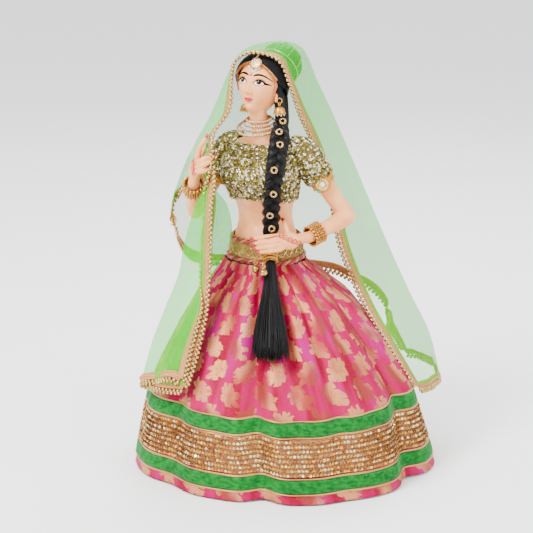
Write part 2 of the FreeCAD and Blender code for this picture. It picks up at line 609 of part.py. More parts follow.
def make_necklace():
    """Four rows of stones round the root of the neck, each lower and wider than the last."""
    rows = []
    for k in range(4):
        radius = f"(Sizes.neck_radius + {2.2 + 3.4 * k}) * 1 mm"
        at = Vector(0.5, -3.2 - 1.8 * k, 300.2 - 2.2 * k)
        tilt = Rotation(ACROSS, 14 + 6 * k)
        rows.append(ring(f"stones_{k}", Placement(at, tilt), radius, cell("necklace_bead")))
    whole = fuse("necklace_rows", rows)
    clear = [stack("necklace_chest", TORSO, "0.4"),
             limb("necklace_neck", NECK - UP * 8, NECK_TOP,
                  "(Sizes.neck_radius + 0.3) * 1 mm", "(Sizes.neck_top_radius + 0.3) * 1 mm"),
             braid_loft("necklace_braid", 0.5)]
    part(cut("necklace_cut", whole, fuse("necklace_clear", clear)), "necklace")


# ---- braid, tassel and bells --------------------------------------------------------------------
def braid_loft(name, grow):
    """The braid as one smooth length, its outline grown by a number of millimetres."""
    sections = []
    for k, at in enumerate(BRAID):
        ahead = Vector(*BRAID[min(k + 1, len(BRAID) - 1)])
        behind = Vector(*BRAID[max(k - 1, 0)])
        obj = doc.addObject("Part::Ellipse", f"{name}_level{k}")
        bind(obj, MajorRadius=f"(Sizes.braid_width + {grow}) * 1 mm",
             MinorRadius=f"(Sizes.braid_thickness + {grow}) * 1 mm")
        tilt = Rotation(Vector(0, 0, -1), ahead - behind).multiply(Rotation(ACROSS, 180))
        obj.Placement = Placement(Vector(*at), tilt)
        sections.append(obj)
    body = doc.addObject("Part::Loft", name)
    body.Sections = sections
    body.Solid = True
    return body


def make_braid():
    part(braid_loft("braid_length", 0), "braid")
    flowers = []
    for k in range(7):
        out = Vector(0.25, -0.97, 0.05)
        at = braid_point(0.1 + 0.115 * k) + out * (size("braid_thickness") + 0.9)
        flowers.append(cylinder(f"flower_{k}", aimed(at, out), cell("flower_radius"), cell("flower_depth")))
    part(cut("flowers_cut", group("flowers", flowers), braid_loft("flower_clear", 0)), "braid_flowers")


def braid_point(share):
    """The point a share of the way along the braid's centre line."""
    points = [Vector(*p) for p in BRAID]
    lengths = [(b - a).Length for a, b in zip(points, points[1:])]
    left = share * sum(lengths)
    for a, b, length in zip(points, points[1:], lengths):
        if left <= length:
            return a + (b - a) * (left / length)
        left -= length
    return points[-1]


def make_tassel():
    down = (TASSEL_END - TIE).normalize()
    body = body_named("tie_bands")
    core, bead, pitch = size("tie_radius") - 0.4, size("tie_bead"), 2 * size("tie_bead") + 0.1
    outline = [(0, -1.6 * pitch), (core, -1.6 * pitch)]
    for k in (-1, 0, 1):
        for step in range(1, 8):
            turn = math.pi * (step / 8 - 0.5)
            outline.append((core + bead * math.cos(turn), k * pitch + bead * math.sin(turn)))
    outline += [(core, 1.6 * pitch), (0, 1.6 * pitch)]
    profile = outline_in(sketch_on(body, "tie_outline", "XZ_Plane"), outline)
    turned = body.newObject("PartDesign::Revolution", "tie_turned")
    turned.Profile = profile
    turned.ReferenceAxis = (profile, ["V_Axis"])
    turned.Angle = 360
    body.Placement = aimed(TIE, down)
    doc.recompute()
    eyes, wires = [], []
    for side, centre in BELLS.items():
        hang = Vector(*centre) + UP * (size("bell_radius") + 2.4 + 1.6)
        eyes.append(ring(f"eyelet_{side}", Placement(hang, Rotation(Vector(0, 1, 0), 90)),
                         "1.6 mm", cell("bell_wire")))
        wires.append(limb(f"eyelet_wire_{side}", hang + Vector(0, 1.6, 0), TIE, "0.5 mm", "0.6 mm"))
    part(fuse("tie_all", [body] + eyes + wires), "braid_tie")
    start = TIE + down * 5.4
    levels = ((0, 1), (0.25, 1.5), (0.7, 2.6), (1, 3.6))
    sections = []
    for k, (share, grow) in enumerate(levels):
        obj = doc.addObject("Part::Ellipse", f"tassel_level{k}")
        wide = f"(Sizes.tassel_neck + {share} * (Sizes.tassel_foot - Sizes.tassel_neck)) * 1 mm"
        deep = f"(Sizes.tassel_neck - 0.2 + {share} * (Sizes.tassel_depth - Sizes.tassel_neck)) * 1 mm"
        bind(obj, MajorRadius=wide, MinorRadius=deep)
        tilt = Rotation(Vector(0, 0, -1), down).multiply(Rotation(ACROSS, 180))
        obj.Placement = Placement(start + (TASSEL_END - start) * share, tilt.multiply(Rotation(UP, -12)))
        sections.append(obj)
    hair = doc.addObject("Part::Loft", "tassel_loft")
    hair.Sections = sections
    hair.Solid = True
    part(hair, "tassel")


def make_bells():
    """Two round bells with a slot across the bottom and a loose pellet, on eyelets of the tie."""
    for side, centre in BELLS.items():
        centre = Vector(*centre)
        shell = cut(f"bell_wall_{side}", ball(f"bell_out_{side}", centre, cell("bell_radius")),
                    ball(f"bell_in_{side}", centre, "(Sizes.bell_radius - Sizes.bell_wall) * 1 mm"))
        slot = block(f"bell_slot_{side}", Placement(centre - UP * size("bell_radius"), Rotation()),
                     2 * size("bell_radius"), size("bell_slot"), size("bell_radius") * 0.8)
        open_shell = cut(f"bell_open_{side}", shell, slot)
        loop = ring(f"bell_loop_{side}", Placement(centre + UP * (size("bell_radius") + 1.9),
                                                   Rotation(ACROSS, 90)),
                    "1.6 mm", cell("bell_wire"))
        part(fuse(f"bell_all_{side}", [open_shell, loop]), f"bell_{side}")
        low = centre - UP * (size("bell_radius") - size("bell_wall") - size("pellet_radius") - 0.1)
        part(ball(f"pellet_ball_{side}", low, cell("pellet_radius")), f"bell_pellet_{side}")


# ---- veil ---------------------------------------------------------------------------------------
def veil_normals(rows):
    """The cloth's outward direction at every guide point."""
    found = []
    for i, row in enumerate(rows):
        line = []
        for j in range(len(row)):
            along = rows[min(i + 1, len(rows) - 1)][j] - rows[max(i - 1, 0)][j]
            across = row[min(j + 1, len(row) - 1)] - row[max(j - 1, 0)]
            line.append(along.cross(across).normalize() * -1)
        found.append(line)
    return found


def thin_solid(rows, normals, lift, thickness):
    """A closed solid between two layers of a grid of points, each offset along the normals."""
    low = [[p + n * lift for p, n in zip(*pair)] for pair in zip(rows, normals)]
    high = [[p + n * (lift + thickness) for p, n in zip(*pair)] for pair in zip(rows, normals)]
    down, over = len(rows), len(rows[0])
    corners = []
    for i in range(down - 1):
        for j in range(over - 1):
            for layer, order in ((high, 1), (low, -1)):
                a, b, c, d = layer[i][j], layer[i + 1][j], layer[i + 1][j + 1], layer[i][j + 1]
                corners += [(a, b, c)[::order], (a, c, d)[::order]]
    rim = [(i, 0) for i in range(down)] + [(down - 1, j) for j in range(1, over)]
    rim += [(i, over - 1) for i in range(down - 2, -1, -1)] + [(0, j) for j in range(over - 2, -1, -1)]
    for (i, j), (k, m) in zip(rim, rim[1:]):
        corners += [(low[i][j], low[k][m], high[k][m]), (low[i][j], high[k][m], high[i][j])]
    faces = [Part.Face(Part.makePolygon([a, b, c, a])) for a, b, c in corners]
    solid = Part.makeSolid(Part.makeShell(faces))
    if solid.Volume < 0:
        solid.reverse()
    return solid


def make_veil():
    rows = [[Vector(*p) for p in row] for row in VEIL]
    normals = veil_normals(rows)
    cloth = doc.addObject("Part::Feature", "veil_sheet")
    cloth.Shape = thin_solid(rows, normals, 0, size("veil_cloth"))
    part(cloth, "veil")
    # gold lace on the outside of the cloth, along its front and back edges and across its two ends
    lift, width = size("veil_cloth") + 0.35, size("lace_width")
    last = len(rows[0]) - 1
    strips = []
    for edge, inner in ((0, 1), (last, last - 1)):
        line, line_normals = [], []
        for row, across in zip(rows, normals):
            inward = row[inner] - row[edge]
            reach = min(width, inward.Length * 0.45)
            line.append([row[edge], row[edge] + inward.normalize() * reach])
            line_normals.append([across[edge]] * 2)
        strips.append(thin_solid(line, line_normals, lift, size("lace_cloth")))
    for at, step in ((0, 1), (len(rows) - 1, -1)):
        line, line_normals = [], []
        for j in range(1, last):
            inward = (rows[at + step][j] - rows[at][j]).normalize() * width
            line.append([rows[at][j], rows[at][j] + inward])
            line_normals.append([normals[at][j]] * 2)
        strips.append(thin_solid(line, line_normals, lift, size("lace_cloth")))
    lace = doc.addObject("Part::Feature", "veil_laces")
    lace.Shape = Part.makeCompound(strips)
    part(lace, "veil_lace")


make_base()
make_dowel()
make_skirt()
make_trims()
make_belt()
make_blouse()
make_sleeves()
make_torso()
make_head()
make_hair()
make_bun()
make_headdress()
make_earrings()
make_hands()
make_arm_jewellery()
make_necklace()
make_braid()
make_tassel()
make_bells()
make_veil()
doc.recompute()

broken = [obj.Name for obj in doc.Objects if {"Invalid", "Error"} & set(obj.State)]
if broken:
    raise RuntimeError(f"objects that failed: {broken}")
for obj in PARTS:
    if obj.Shape.isNull() or not obj.Shape.isValid() or not obj.Shape.Solids:
        raise RuntimeError(f"{obj.Label} has no valid solid")
os.makedirs("parts", exist_ok=True)
for old in os.listdir("parts"):
    os.remove(os.path.join("parts", old))
for obj in PARTS:
    obj.Shape.exportStep(f"parts/{obj.Label}.step")
    box = obj.Shape.BoundBox
    print(f"{obj.Label:20s} solids {len(obj.Shape.Solids):2d} volume {obj.Shape.Volume:10.1f} "
          f"x {box.XMin:.1f}..{box.XMax:.1f} y {box.YMin:.1f}..{box.YMax:.1f} z {box.ZMin:.1f}..{box.ZMax:.1f}")
print(len(PARTS), "sub-parts")
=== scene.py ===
"""Looks of the standing bridal doll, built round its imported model.

Lengths are in millimetres until piece() turns them into metres. +Z is up, the doll faces -Y and
its left arm is on the +X side.
"""
import math

import bpy
import numpy as np
from mathutils import Matrix, Vector
from mathutils.bvhtree import BVHTree


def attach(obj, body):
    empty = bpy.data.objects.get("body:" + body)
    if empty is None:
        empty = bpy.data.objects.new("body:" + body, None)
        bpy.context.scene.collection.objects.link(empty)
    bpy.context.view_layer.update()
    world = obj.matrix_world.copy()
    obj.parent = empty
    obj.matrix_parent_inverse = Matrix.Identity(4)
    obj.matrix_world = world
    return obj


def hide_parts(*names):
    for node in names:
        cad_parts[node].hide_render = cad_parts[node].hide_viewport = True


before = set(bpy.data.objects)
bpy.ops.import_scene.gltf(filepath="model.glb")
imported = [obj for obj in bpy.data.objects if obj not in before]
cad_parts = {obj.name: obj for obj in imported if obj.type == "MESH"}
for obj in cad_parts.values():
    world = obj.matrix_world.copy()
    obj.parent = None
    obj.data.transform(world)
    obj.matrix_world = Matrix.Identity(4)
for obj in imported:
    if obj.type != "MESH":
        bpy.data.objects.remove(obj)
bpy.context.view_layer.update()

MM = 0.001
TURN = 2 * math.pi
draw = np.random.default_rng(11)

# ---- camera, lights and floor -------------------------------------------------------------------
AIM = np.array((0, 0, 175.0))
CAMERA_AZIMUTH, CAMERA_ELEVATION, CAMERA_DISTANCE = 25, 14, 1800


def seen_from(azimuth, elevation, distance):
    """A point that looks at the aim from an azimuth and an elevation, in degrees."""
    a, e = math.radians(azimuth), math.radians(elevation)
    out = np.array((math.sin(a) * math.cos(e), -math.cos(a) * math.cos(e), math.sin(e)))
    return AIM + out * distance


def aimed_object(name, data, at, target):
    """An object at a point, looking at another."""
    obj = bpy.data.objects.new(name, data)
    bpy.context.scene.collection.objects.link(obj)
    look = Vector(target) - Vector(at)
    facing = look.to_track_quat("-Z", "Y").to_matrix().to_4x4()
    obj.matrix_world = Matrix.Translation(Vector(at) * MM) @ facing
    return obj


lens = bpy.data.cameras.new("camera")
lens.lens, lens.sensor_width = 135.1, 36
lens.clip_start, lens.clip_end = 0.05, 30
bpy.context.scene.camera = aimed_object(
    "camera", lens, seen_from(CAMERA_AZIMUTH, CAMERA_ELEVATION, CAMERA_DISTANCE), AIM)


def soft_light(name, azimuth, elevation, distance, width, power, colour=(1, 1, 1)):
    lamp = bpy.data.lights.new(name, "AREA")
    lamp.shape, lamp.size, lamp.energy, lamp.color = "SQUARE", width * MM, power, colour
    aimed_object(name, lamp, seen_from(azimuth, elevation, distance), AIM)


soft_light("key", -20, 48, 1500, 600, 42)
soft_light("fill", 75, 25, 1700, 900, 13)
soft_light("back", 190, 50, 1500, 800, 22)

world = bpy.data.worlds.new("studio")
bpy.context.scene.world = world
world.use_nodes = True
world.node_tree.nodes["Background"].inputs["Color"].default_value = (1, 1, 1, 1)
world.node_tree.nodes["Background"].inputs["Strength"].default_value = 1.75


# ---- lines and surfaces -------------------------------------------------------------------------
def unit(v):
    v = np.asarray(v, float)
    return v / np.maximum(np.linalg.norm(v, axis=-1, keepdims=True), 1e-9)


def catmull(points, t):
    """A smooth line through points, at numbers t that run from 0 to one less than their count."""
    p = np.asarray(points, float)
    p = np.concatenate([2 * p[:1] - p[1:2], p, 2 * p[-1:] - p[-2:-1]])
    t = np.clip(np.asarray(t, float), 0, len(p) - 3 - 1e-9)
    i = t.astype(int)
    f = (t - i).reshape((-1,) + (1,) * (p.ndim - 1))
    a, b, c, d = p[i], p[i + 1], p[i + 2], p[i + 3]
    return 0.5 * (2 * b + (c - a) * f + (2 * a - 5 * b + 4 * c - d) * f ** 2
                  + (3 * b - a - 3 * c + d) * f ** 3)


def respaced(line, step):
    """A dense line at points an even step apart."""
    run = np.concatenate([[0], np.cumsum(np.linalg.norm(np.diff(line, axis=0), axis=1))])
    count = max(2, int(round(run[-1] / step)) + 1)
    at = np.linspace(0, run[-1], count)
    return np.stack([np.interp(at, run, line[:, k]) for k in range(line.shape[1])], axis=1)


def evenly(points, step):
    """A smooth line through points, at an even step."""
    return respaced(catmull(points, np.linspace(0, len(points) - 1, 20 * len(points))), step)


def frames(line, start=(0.13, 0.2, 0.97)):
    """The direction of a line and two directions across it that don't twist, at each point."""
    along = unit(np.gradient(line, axis=0))
    side = np.zeros_like(line)
    last = np.asarray(start, float)
    for k, t in enumerate(along):
        last = unit(last - t * last.dot(t))
        side[k] = last
    return along, side, np.cross(along, side)


def grid(points, wrap=False, uv=None):
    """Quads over a grid of points. wrap joins the last column to the first."""
    rows, columns = points.shape[:2]
    i, j = np.meshgrid(np.arange(rows - 1), np.arange(columns if wrap else columns - 1), indexing="ij")
    i, j = i.ravel(), j.ravel()
    after = (j + 1) % columns
    faces = np.stack([i * columns + j, i * columns + after, (i + 1) * columns + after,
                      (i + 1) * columns + j], axis=1)
    corners = None
    if uv is not None:
        corners = np.stack([uv[i, j], uv[i, j + 1], uv[i + 1, j + 1], uv[i + 1, j]], axis=1)
    return points.reshape(-1, 3), faces, corners


def tube(line, radius, sides=10, flat=1.0, start=(0.13, 0.2, 0.97), closed=False):
    """A round length along a line, with closed ends. radius is a number, one for each point, or
    one for each point and side; flat narrows the second direction across."""
    line = np.asarray(line, float)
    _, side, other = frames(line, start)
    turn = np.arange(sides) * TURN / sides
    ring = side[:, None] * np.cos(turn)[None, :, None] + other[:, None] * (np.sin(turn) * flat)[None, :, None]
    radius = np.asarray(radius, float)
    radius = radius.reshape(radius.shape + (1,) * (2 - radius.ndim))
    points = line[:, None] + ring * np.broadcast_to(radius, (len(line), sides))[..., None]
    run = np.concatenate([[0], np.cumsum(np.linalg.norm(np.diff(line, axis=0), axis=1))])
    across = np.linspace(0, TURN * float(np.mean(radius)), sides + 1)
    uv = np.stack(np.broadcast_arrays(across[None, :], run[:, None]), axis=2)
    if closed:
        points = np.concatenate([points, points[:1]])
        uv = np.concatenate([uv, uv[-1:]])
        verts, faces, corners = grid(points, True, uv)
        faces = np.where(faces >= len(line) * sides, faces - len(line) * sides, faces)
        return verts[:len(line) * sides], faces, corners
    verts, faces, corners = grid(points, True, uv)
    # each end closes on a point of its own
    last = len(verts)
    verts = np.concatenate([verts, line[:1], line[-1:]])
    k = np.arange(sides)
    low = np.stack([np.full(sides, last), (k + 1) % sides, k, k], axis=1)
    high = np.stack([np.full(sides, last + 1), last - sides + k, last - sides + (k + 1) % sides,
                     last - sides + (k + 1) % sides], axis=1)
    faces = np.concatenate([faces, low, high])
    corners = np.concatenate([corners, np.zeros((2 * sides, 4, 2))])
    return verts, faces, corners


def turned(profile, sides):
    """A closed shape of (radius, height) points turned about Z; the first and last are on the axis."""
    profile = np.asarray(profile, float)
    turn = np.arange(sides) * TURN / sides
    body = profile[1:-1]
    points = np.stack([body[:, None, 0] * np.cos(turn), body[:, None, 0] * np.sin(turn),
                       np.broadcast_to(body[:, None, 1], (len(body), sides))], axis=2)
    verts, faces, _ = grid(points, True)
    last = len(verts)
    verts = np.concatenate([verts, [(0, 0, profile[0, 1]), (0, 0, profile[-1, 1])]])
    k = np.arange(sides)
    low = np.stack([np.full(sides, last), (k + 1) % sides, k, k], axis=1)
    high = np.stack([np.full(sides, last + 1), last - sides + k, last - sides + (k + 1) % sides,
                     last - sides + (k + 1) % sides], axis=1)
    return verts, np.concatenate([faces, low, high]), None


def bead(sides=8, levels=5, radius=1.0, squash=1.0):
    """A closed ball for scattering."""
    turn = np.linspace(-math.pi / 2, math.pi / 2, levels + 2)
    return turned(np.stack([np.cos(turn) * radius, np.sin(turn) * radius * squash], axis=1), sides)


def axes_from(out, up=(0, 0, 1)):
    """Turning matrices whose third column is each outward direction and whose second leans to up."""
    out = unit(out)
    up = np.broadcast_to(np.asarray(up, float), out.shape)
    across = np.cross(up, out)
    weak = np.linalg.norm(across, axis=-1) < 1e-3
    across = unit(np.where(weak[..., None], np.cross(np.array((1.0, 0.1, 0)), out), across))
    return np.stack([across, np.cross(out, across), out], axis=-1)


def spin(axes, angle):
    """Turns the matrices about their own third column."""
    c, s = np.cos(angle)[..., None], np.sin(angle)[..., None]
    return np.stack([axes[..., 0] * c + axes[..., 1] * s, axes[..., 1] * c - axes[..., 0] * s,
                     axes[..., 2]], axis=-1)


def scatter(template, at, axes=None, size=1.0):
    """Copies of a small closed shape at points, turned by matrices and scaled by numbers."""
    points, faces, _ = template
    at = np.asarray(at, float).reshape(-1, 3)
    size = np.broadcast_to(np.asarray(size, float), (len(at),))
    local = np.broadcast_to(points, (len(at),) + points.shape) * size[:, None, None]
    if axes is not None:
        local = np.einsum("nij,nkj->nki", np.broadcast_to(axes, (len(at), 3, 3)), local)
    verts = (local + at[:, None]).reshape(-1, 3)
    step = (np.arange(len(at)) * len(points))[:, None, None]
    return verts, (faces[None] + step).reshape(-1, faces.shape[1]), None


def merged(*shapes):
    """Several shapes as one, without texture corners."""
    verts, faces, count = [], [], 0
    for points, quads, _ in shapes:
        verts.append(points)
        faces.append(quads + count)
        count += len(points)
    return np.concatenate(verts), np.concatenate(faces), None


def piece(name, shapes, materials, body="figure", replaces=(), slot=None, smooth=True, thick=0):
    """An object made of shapes, each with its own material, riding on a body. A cloth surface is
    given a thickness outwards."""
    if isinstance(shapes, tuple):
        shapes = [shapes]
    if not isinstance(materials, (list, tuple)):
        materials = [materials]
    verts, faces, corners, number, count = [], [], [], [], 0
    for k, (points, quads, uv) in enumerate(shapes):
        verts.append(points)
        for row in (quads + count).tolist():
            faces.append(row if row[2] != row[3] else row[:3])
        corner = np.zeros((len(quads), 4, 2)) if uv is None else uv
        corners.append(corner)
        number += [min(k, len(materials) - 1)] * len(quads)
        count += len(points)
    data = bpy.data.meshes.new(name)
    data.from_pydata((np.concatenate(verts) * MM).tolist(), [], faces)
    layer = data.uv_layers.new(name="UVMap")
    flat = np.concatenate(corners)
    keep = np.array([len(face) for face in faces])
    mask = np.ones((len(faces), 4), bool)
    mask[keep == 3, 3] = False
    layer.data.foreach_set("uv", flat[mask].ravel())
    for material in materials:
        data.materials.append(material)
    data.polygons.foreach_set("material_index", number)
    data.polygons.foreach_set("use_smooth", [smooth] * len(faces))
    data.update()
    obj = bpy.data.objects.new(name, data)
    bpy.context.scene.collection.objects.link(obj)
    if thick:
        cloth = obj.modifiers.new("thickness", "SOLIDIFY")
        cloth.thickness = thick * MM
        cloth.offset = 1
    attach(obj, body)
    if replaces:
        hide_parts(*replaces)
    return obj


# ---- materials ----------------------------------------------------------------------------------
SOCKETS = {"colour": "Base Color", "rough": "Roughness", "metal": "Metallic", "alpha": "Alpha",
           "coat": "Coat Weight", "coat_rough": "Coat Roughness", "sheen": "Sheen Weight",
           "sheen_rough": "Sheen Roughness", "sheen_tint": "Sheen Tint", "gloss": "Specular IOR Level",
           "ior": "IOR", "clear": "Transmission Weight", "flesh": "Subsurface Weight",
           "flesh_radius": "Subsurface Radius", "flesh_scale": "Subsurface Scale"}


class Look:
    """A material and short calls for its nodes. Lengths in its patterns are millimetres."""

    def __init__(self, name, **values):
        self.material = bpy.data.materials.new(name)
        self.material.use_nodes = True
        self.tree = self.material.node_tree
        self.shader = self.tree.nodes["Principled BSDF"]
        self.put(**values)

    def put(self, **values):
        for key, value in values.items():
            self.feed(self.shader.inputs[SOCKETS[key]], value)
        return self

    def feed(self, socket, value):
        if isinstance(value, bpy.types.NodeSocket):
            self.tree.links.new(value, socket)
        elif isinstance(value, (tuple, list)) and len(value) == 3 and socket.type == "RGBA":
            socket.default_value = (*value, 1)
        else:
            socket.default_value = value

    def node(self, kind, inputs, output=0, **settings):
        node = self.tree.nodes.new(kind)
        for key, value in settings.items():
            setattr(node, key, value)
        for key, value in inputs.items():
            self.feed(node.inputs[key], value)
        return node.outputs[output]

    def sum(self, operation, *values):
        return self.node("ShaderNodeMath", dict(enumerate(values)), operation=operation)

    def mixed(self, share, first, second):
        return self.node("ShaderNodeMix", {0: share, 6: first, 7: second}, output=2, data_type="RGBA")

    def blend(self, share, first, second):
        """A number between two, by a share."""
        return self.node("ShaderNodeMix", {0: share, 2: first, 3: second}, data_type="FLOAT")

    def ease(self, value, low, high):
        """0 below low, 1 above high, and smooth between."""
        return self.node("ShaderNodeMapRange", {0: value, 1: low, 2: high}, interpolation_type="SMOOTHSTEP")

    def place(self, stretch=(1, 1, 1)):
        """The point on the object, in millimetres, stretched."""
        coordinate = self.node("ShaderNodeTexCoord", {}, output="Object")
        return self.node("ShaderNodeVectorMath", {0: coordinate, 1: tuple(s * 1000 for s in stretch)},
                         operation="MULTIPLY")

    def cloth_place(self, stretch=(1, 1, 1)):
        """The point on the flat cloth, in millimetres, stretched."""
        coordinate = self.node("ShaderNodeTexCoord", {}, output="UV")
        return self.node("ShaderNodeVectorMath", {0: coordinate, 1: stretch}, operation="MULTIPLY")

    def noise(self, size, at=None, detail=2.0, distortion=0.0):
        """Noise from 0 to 1 whose spots are about size across."""
        return self.node("ShaderNodeTexNoise", {"Vector": at or self.place(), "Scale": 1 / size,
                                                "Detail": detail, "Distortion": distortion})

    def cells(self, size, at=None, output="Distance"):
        return self.node("ShaderNodeTexVoronoi", {"Vector": at or self.place(), "Scale": 1 / size},
                         output=output)

    def uv(self):
        """The two flat cloth coordinates."""
        split = self.tree.nodes.new("ShaderNodeSeparateXYZ")
        self.tree.links.new(self.node("ShaderNodeTexCoord", {}, output="UV"), split.inputs[0])
        return split.outputs[0], split.outputs[1]

    def thread(self, coordinate, pitch):
        """Ridges from 0 to 1 along a coordinate."""
        wave = self.sum("SINE", self.sum("MULTIPLY", coordinate, TURN / pitch))
        return self.sum("MULTIPLY_ADD", wave, 0.5, 0.5)

    def bump(self, height, depth, strength=1.0):
        """Relief of a height in millimetres."""
        normal = self.node("ShaderNodeBump", {"Height": height, "Distance": depth * MM,
                                              "Strength": strength})
        self.feed(self.shader.inputs["Normal"], normal)
        return self


def weave(look, pitch):
    """Crossed threads, from 0 to 1, over the flat cloth."""
    u, v = look.uv()
    return look.sum("MULTIPLY", look.thread(u, pitch), look.thread(v, pitch))


def metal_look(name, colour, deep, rough=0.3, spot=1.2, relief=0.08):
    """Struck or cast metal: its colour turns deeper in patches and its surface is a little uneven."""
    look = Look(name, metal=1.0)
    patch = look.noise(spot, detail=3)
    look.put(colour=look.mixed(look.ease(patch, 0.35, 0.7), deep, colour),
             rough=look.blend(look.noise(spot * 3), rough * 0.7, rough * 1.5))
    return look.bump(look.noise(spot * 0.6, detail=3), relief)


def paint_look(name, colour, deep, rough=0.3, coat=0.4, gloss=0.4):
    """Hand-brushed enamel with a thin varnish."""
    look = Look(name, coat=coat, coat_rough=0.12, gloss=gloss)
    stroke = look.noise(0.9, look.place((1, 1, 0.4)), detail=3)
    look.put(colour=look.mixed(stroke, deep, colour), rough=look.blend(stroke, rough, rough + 0.15))
    return look.bump(stroke, 0.03)


def brocade_look(name, ground, ground_shaded, sheen_tint, thread, thread_shaded):
    """Shot silk woven with gold lobed leaves in half-drop rows. The light and shade of its folds and a lilac
    sheen are painted into its colour.
    """
    look = Look(name, sheen=0.05, sheen_rough=0.3, sheen_tint=sheen_tint, gloss=0.06)
    u, v = look.uv()
    across, drop = MOTIF_ACROSS, MOTIF_DROP
    row = look.sum("DIVIDE", v, drop)
    odd = look.sum("MODULO", look.sum("FLOOR", row), 2.0)
    column = look.sum("ADD", look.sum("DIVIDE", u, across), look.sum("MULTIPLY", odd, 0.5))
    x = look.sum("MULTIPLY", look.sum("SUBTRACT", look.sum("FRACT", column), 0.5), across)
    y = look.sum("MULTIPLY", look.sum("SUBTRACT", look.sum("FRACT", row), 0.5), drop)
    # every other leaf leans the other way
    x = look.sum("MULTIPLY", x, look.sum("SUBTRACT", 1.0, look.sum("MULTIPLY", odd, 2.0)))
    push_x = look.sum("SUBTRACT", look.noise(7, look.cloth_place(), detail=1), 0.5)
    x = look.sum("MULTIPLY_ADD", push_x, 9.0, x)
    push_y = look.sum("SUBTRACT", look.noise(8, look.cloth_place((0.8, 1.3, 1)), detail=1), 0.5)
    y = look.sum("MULTIPLY_ADD", push_y, 9.0, y)
    lean = look.sum("MULTIPLY_ADD", y, 0.35, x)
    radius = look.sum("SQRT", look.sum("ADD", look.sum("MULTIPLY", lean, lean), look.sum("MULTIPLY", y, y)))
    angle = look.sum("ARCTAN2", y, lean)
    lobes = look.sum("ABSOLUTE", look.sum("COSINE", look.sum("MULTIPLY", angle, 3.5)))
    teeth = look.sum("COSINE", look.sum("MULTIPLY", angle, 21.0))
    edge = look.sum("MULTIPLY_ADD", look.sum("POWER", lobes, 0.6), 5.0, 6.2)
    edge = look.sum("MULTIPLY_ADD", teeth, 0.45, edge)
    # no two leaves are quite alike, and each is fuller on one side
    fuller = look.sum("MULTIPLY_ADD", look.sum("COSINE", look.sum("ADD", angle, 0.7)), 0.2, 0.82)
    fuller = look.sum("MULTIPLY_ADD", look.noise(9, look.cloth_place(), detail=2), 0.5, fuller)
    edge = look.sum("MULTIPLY", edge, fuller)
    inside = look.ease(look.sum("SUBTRACT", edge, radius), 0.0, 0.5)
    # veins between the lobes stay open, and a ring round the heart
    vein = look.ease(look.sum("MULTIPLY", look.sum("ABSOLUTE", look.sum("SINE", look.sum(
        "MULTIPLY", angle, 3.5))), radius), 0.15, 0.6)
    heart = look.ease(look.sum("ABSOLUTE", look.sum("SUBTRACT", radius, 3.1)), 0.15, 0.45)
    stripes = look.blend(look.thread(look.sum("ADD", u, look.sum("MULTIPLY", v, 0.5)), 1.5), 0.5, 1.0)
    leaf = look.sum("MULTIPLY", inside, look.sum("MULTIPLY", look.blend(vein, 0.35, 1.0),
                                                 look.sum("MULTIPLY", look.blend(heart, 0.4, 1.0), stripes)))
    # painted light and shade on the gold thread: large patches go from lit gold to a shaded copper
    gold_lit_share = look.ease(look.noise(30, look.cloth_place((1, 0.5, 1)), detail=2), 0.42, 0.56)
    # painted light and shade: long streaks down the cloth stand for its folds, with a painted shade of deep
    # red in the valleys, pink, and a painted lilac sheen on the lit ridges
    streak = look.noise(17, look.cloth_place((1, 0.2, 1)), detail=2)
    shade = look.mixed(look.ease(streak, 0.38, 0.55), ground_shaded, ground)
    shade = look.mixed(look.sum("MULTIPLY", look.ease(streak, 0.54, 0.68), 0.7), shade, sheen_tint)
    # thick threads of the weave catch a painted lilac sheen
    slub_sheen = look.noise(0.5, look.cloth_place((0.12, 1, 1)), detail=2)
    shade = look.mixed(look.sum("MULTIPLY", look.ease(slub_sheen, 0.45, 0.8), 0.4), shade, sheen_tint)
    gold = look.mixed(gold_lit_share, thread_shaded, thread)
    look.put(colour=look.mixed(leaf, shade, gold), metal=look.sum("MULTIPLY", leaf, 0.45),
             rough=look.blend(leaf, 0.5, 0.4))
    height = look.sum("ADD", look.sum("MULTIPLY", weave(look, 0.45), 0.4), leaf)
    return look.bump(height, 0.09)


def velvet_look(name, colour, deep, tint):
    look = Look(name, sheen=0.2, sheen_rough=0.35, sheen_tint=tint, gloss=0.15)
    nap = look.noise(2.4, look.cloth_place((0.5, 1, 1)), detail=3)
    crushed = look.noise(9, look.cloth_place(), detail=2)
    look.put(colour=look.mixed(look.ease(look.sum("MULTIPLY_ADD", nap, 0.6, look.sum(
        "MULTIPLY", crushed, 0.4)), 0.35, 0.65), deep, colour), rough=0.75)
    return look.bump(look.sum("ADD", look.noise(0.35, look.cloth_place(), detail=2), nap), 0.18)


def net_look(name, colour, deep):
    """Fine net: threads round small holes that show what is behind."""
    look = Look(name, rough=0.6, gloss=0.1)
    u, v = look.uv()
    slant = look.sum("ADD", u, v)
    other = look.sum("SUBTRACT", u, v)
    mesh = look.sum("MAXIMUM", look.thread(slant, NET_PITCH), look.thread(other, NET_PITCH))
    cloud = look.noise(30, look.cloth_place(), detail=2)
    look.put(colour=look.mixed(cloud, deep, colour),
             alpha=look.blend(look.ease(mesh, 0.55, 0.98), NET_CLEAR, NET_DENSE))
    look.material.surface_render_method = "BLENDED"
    return look.bump(mesh, 0.05)


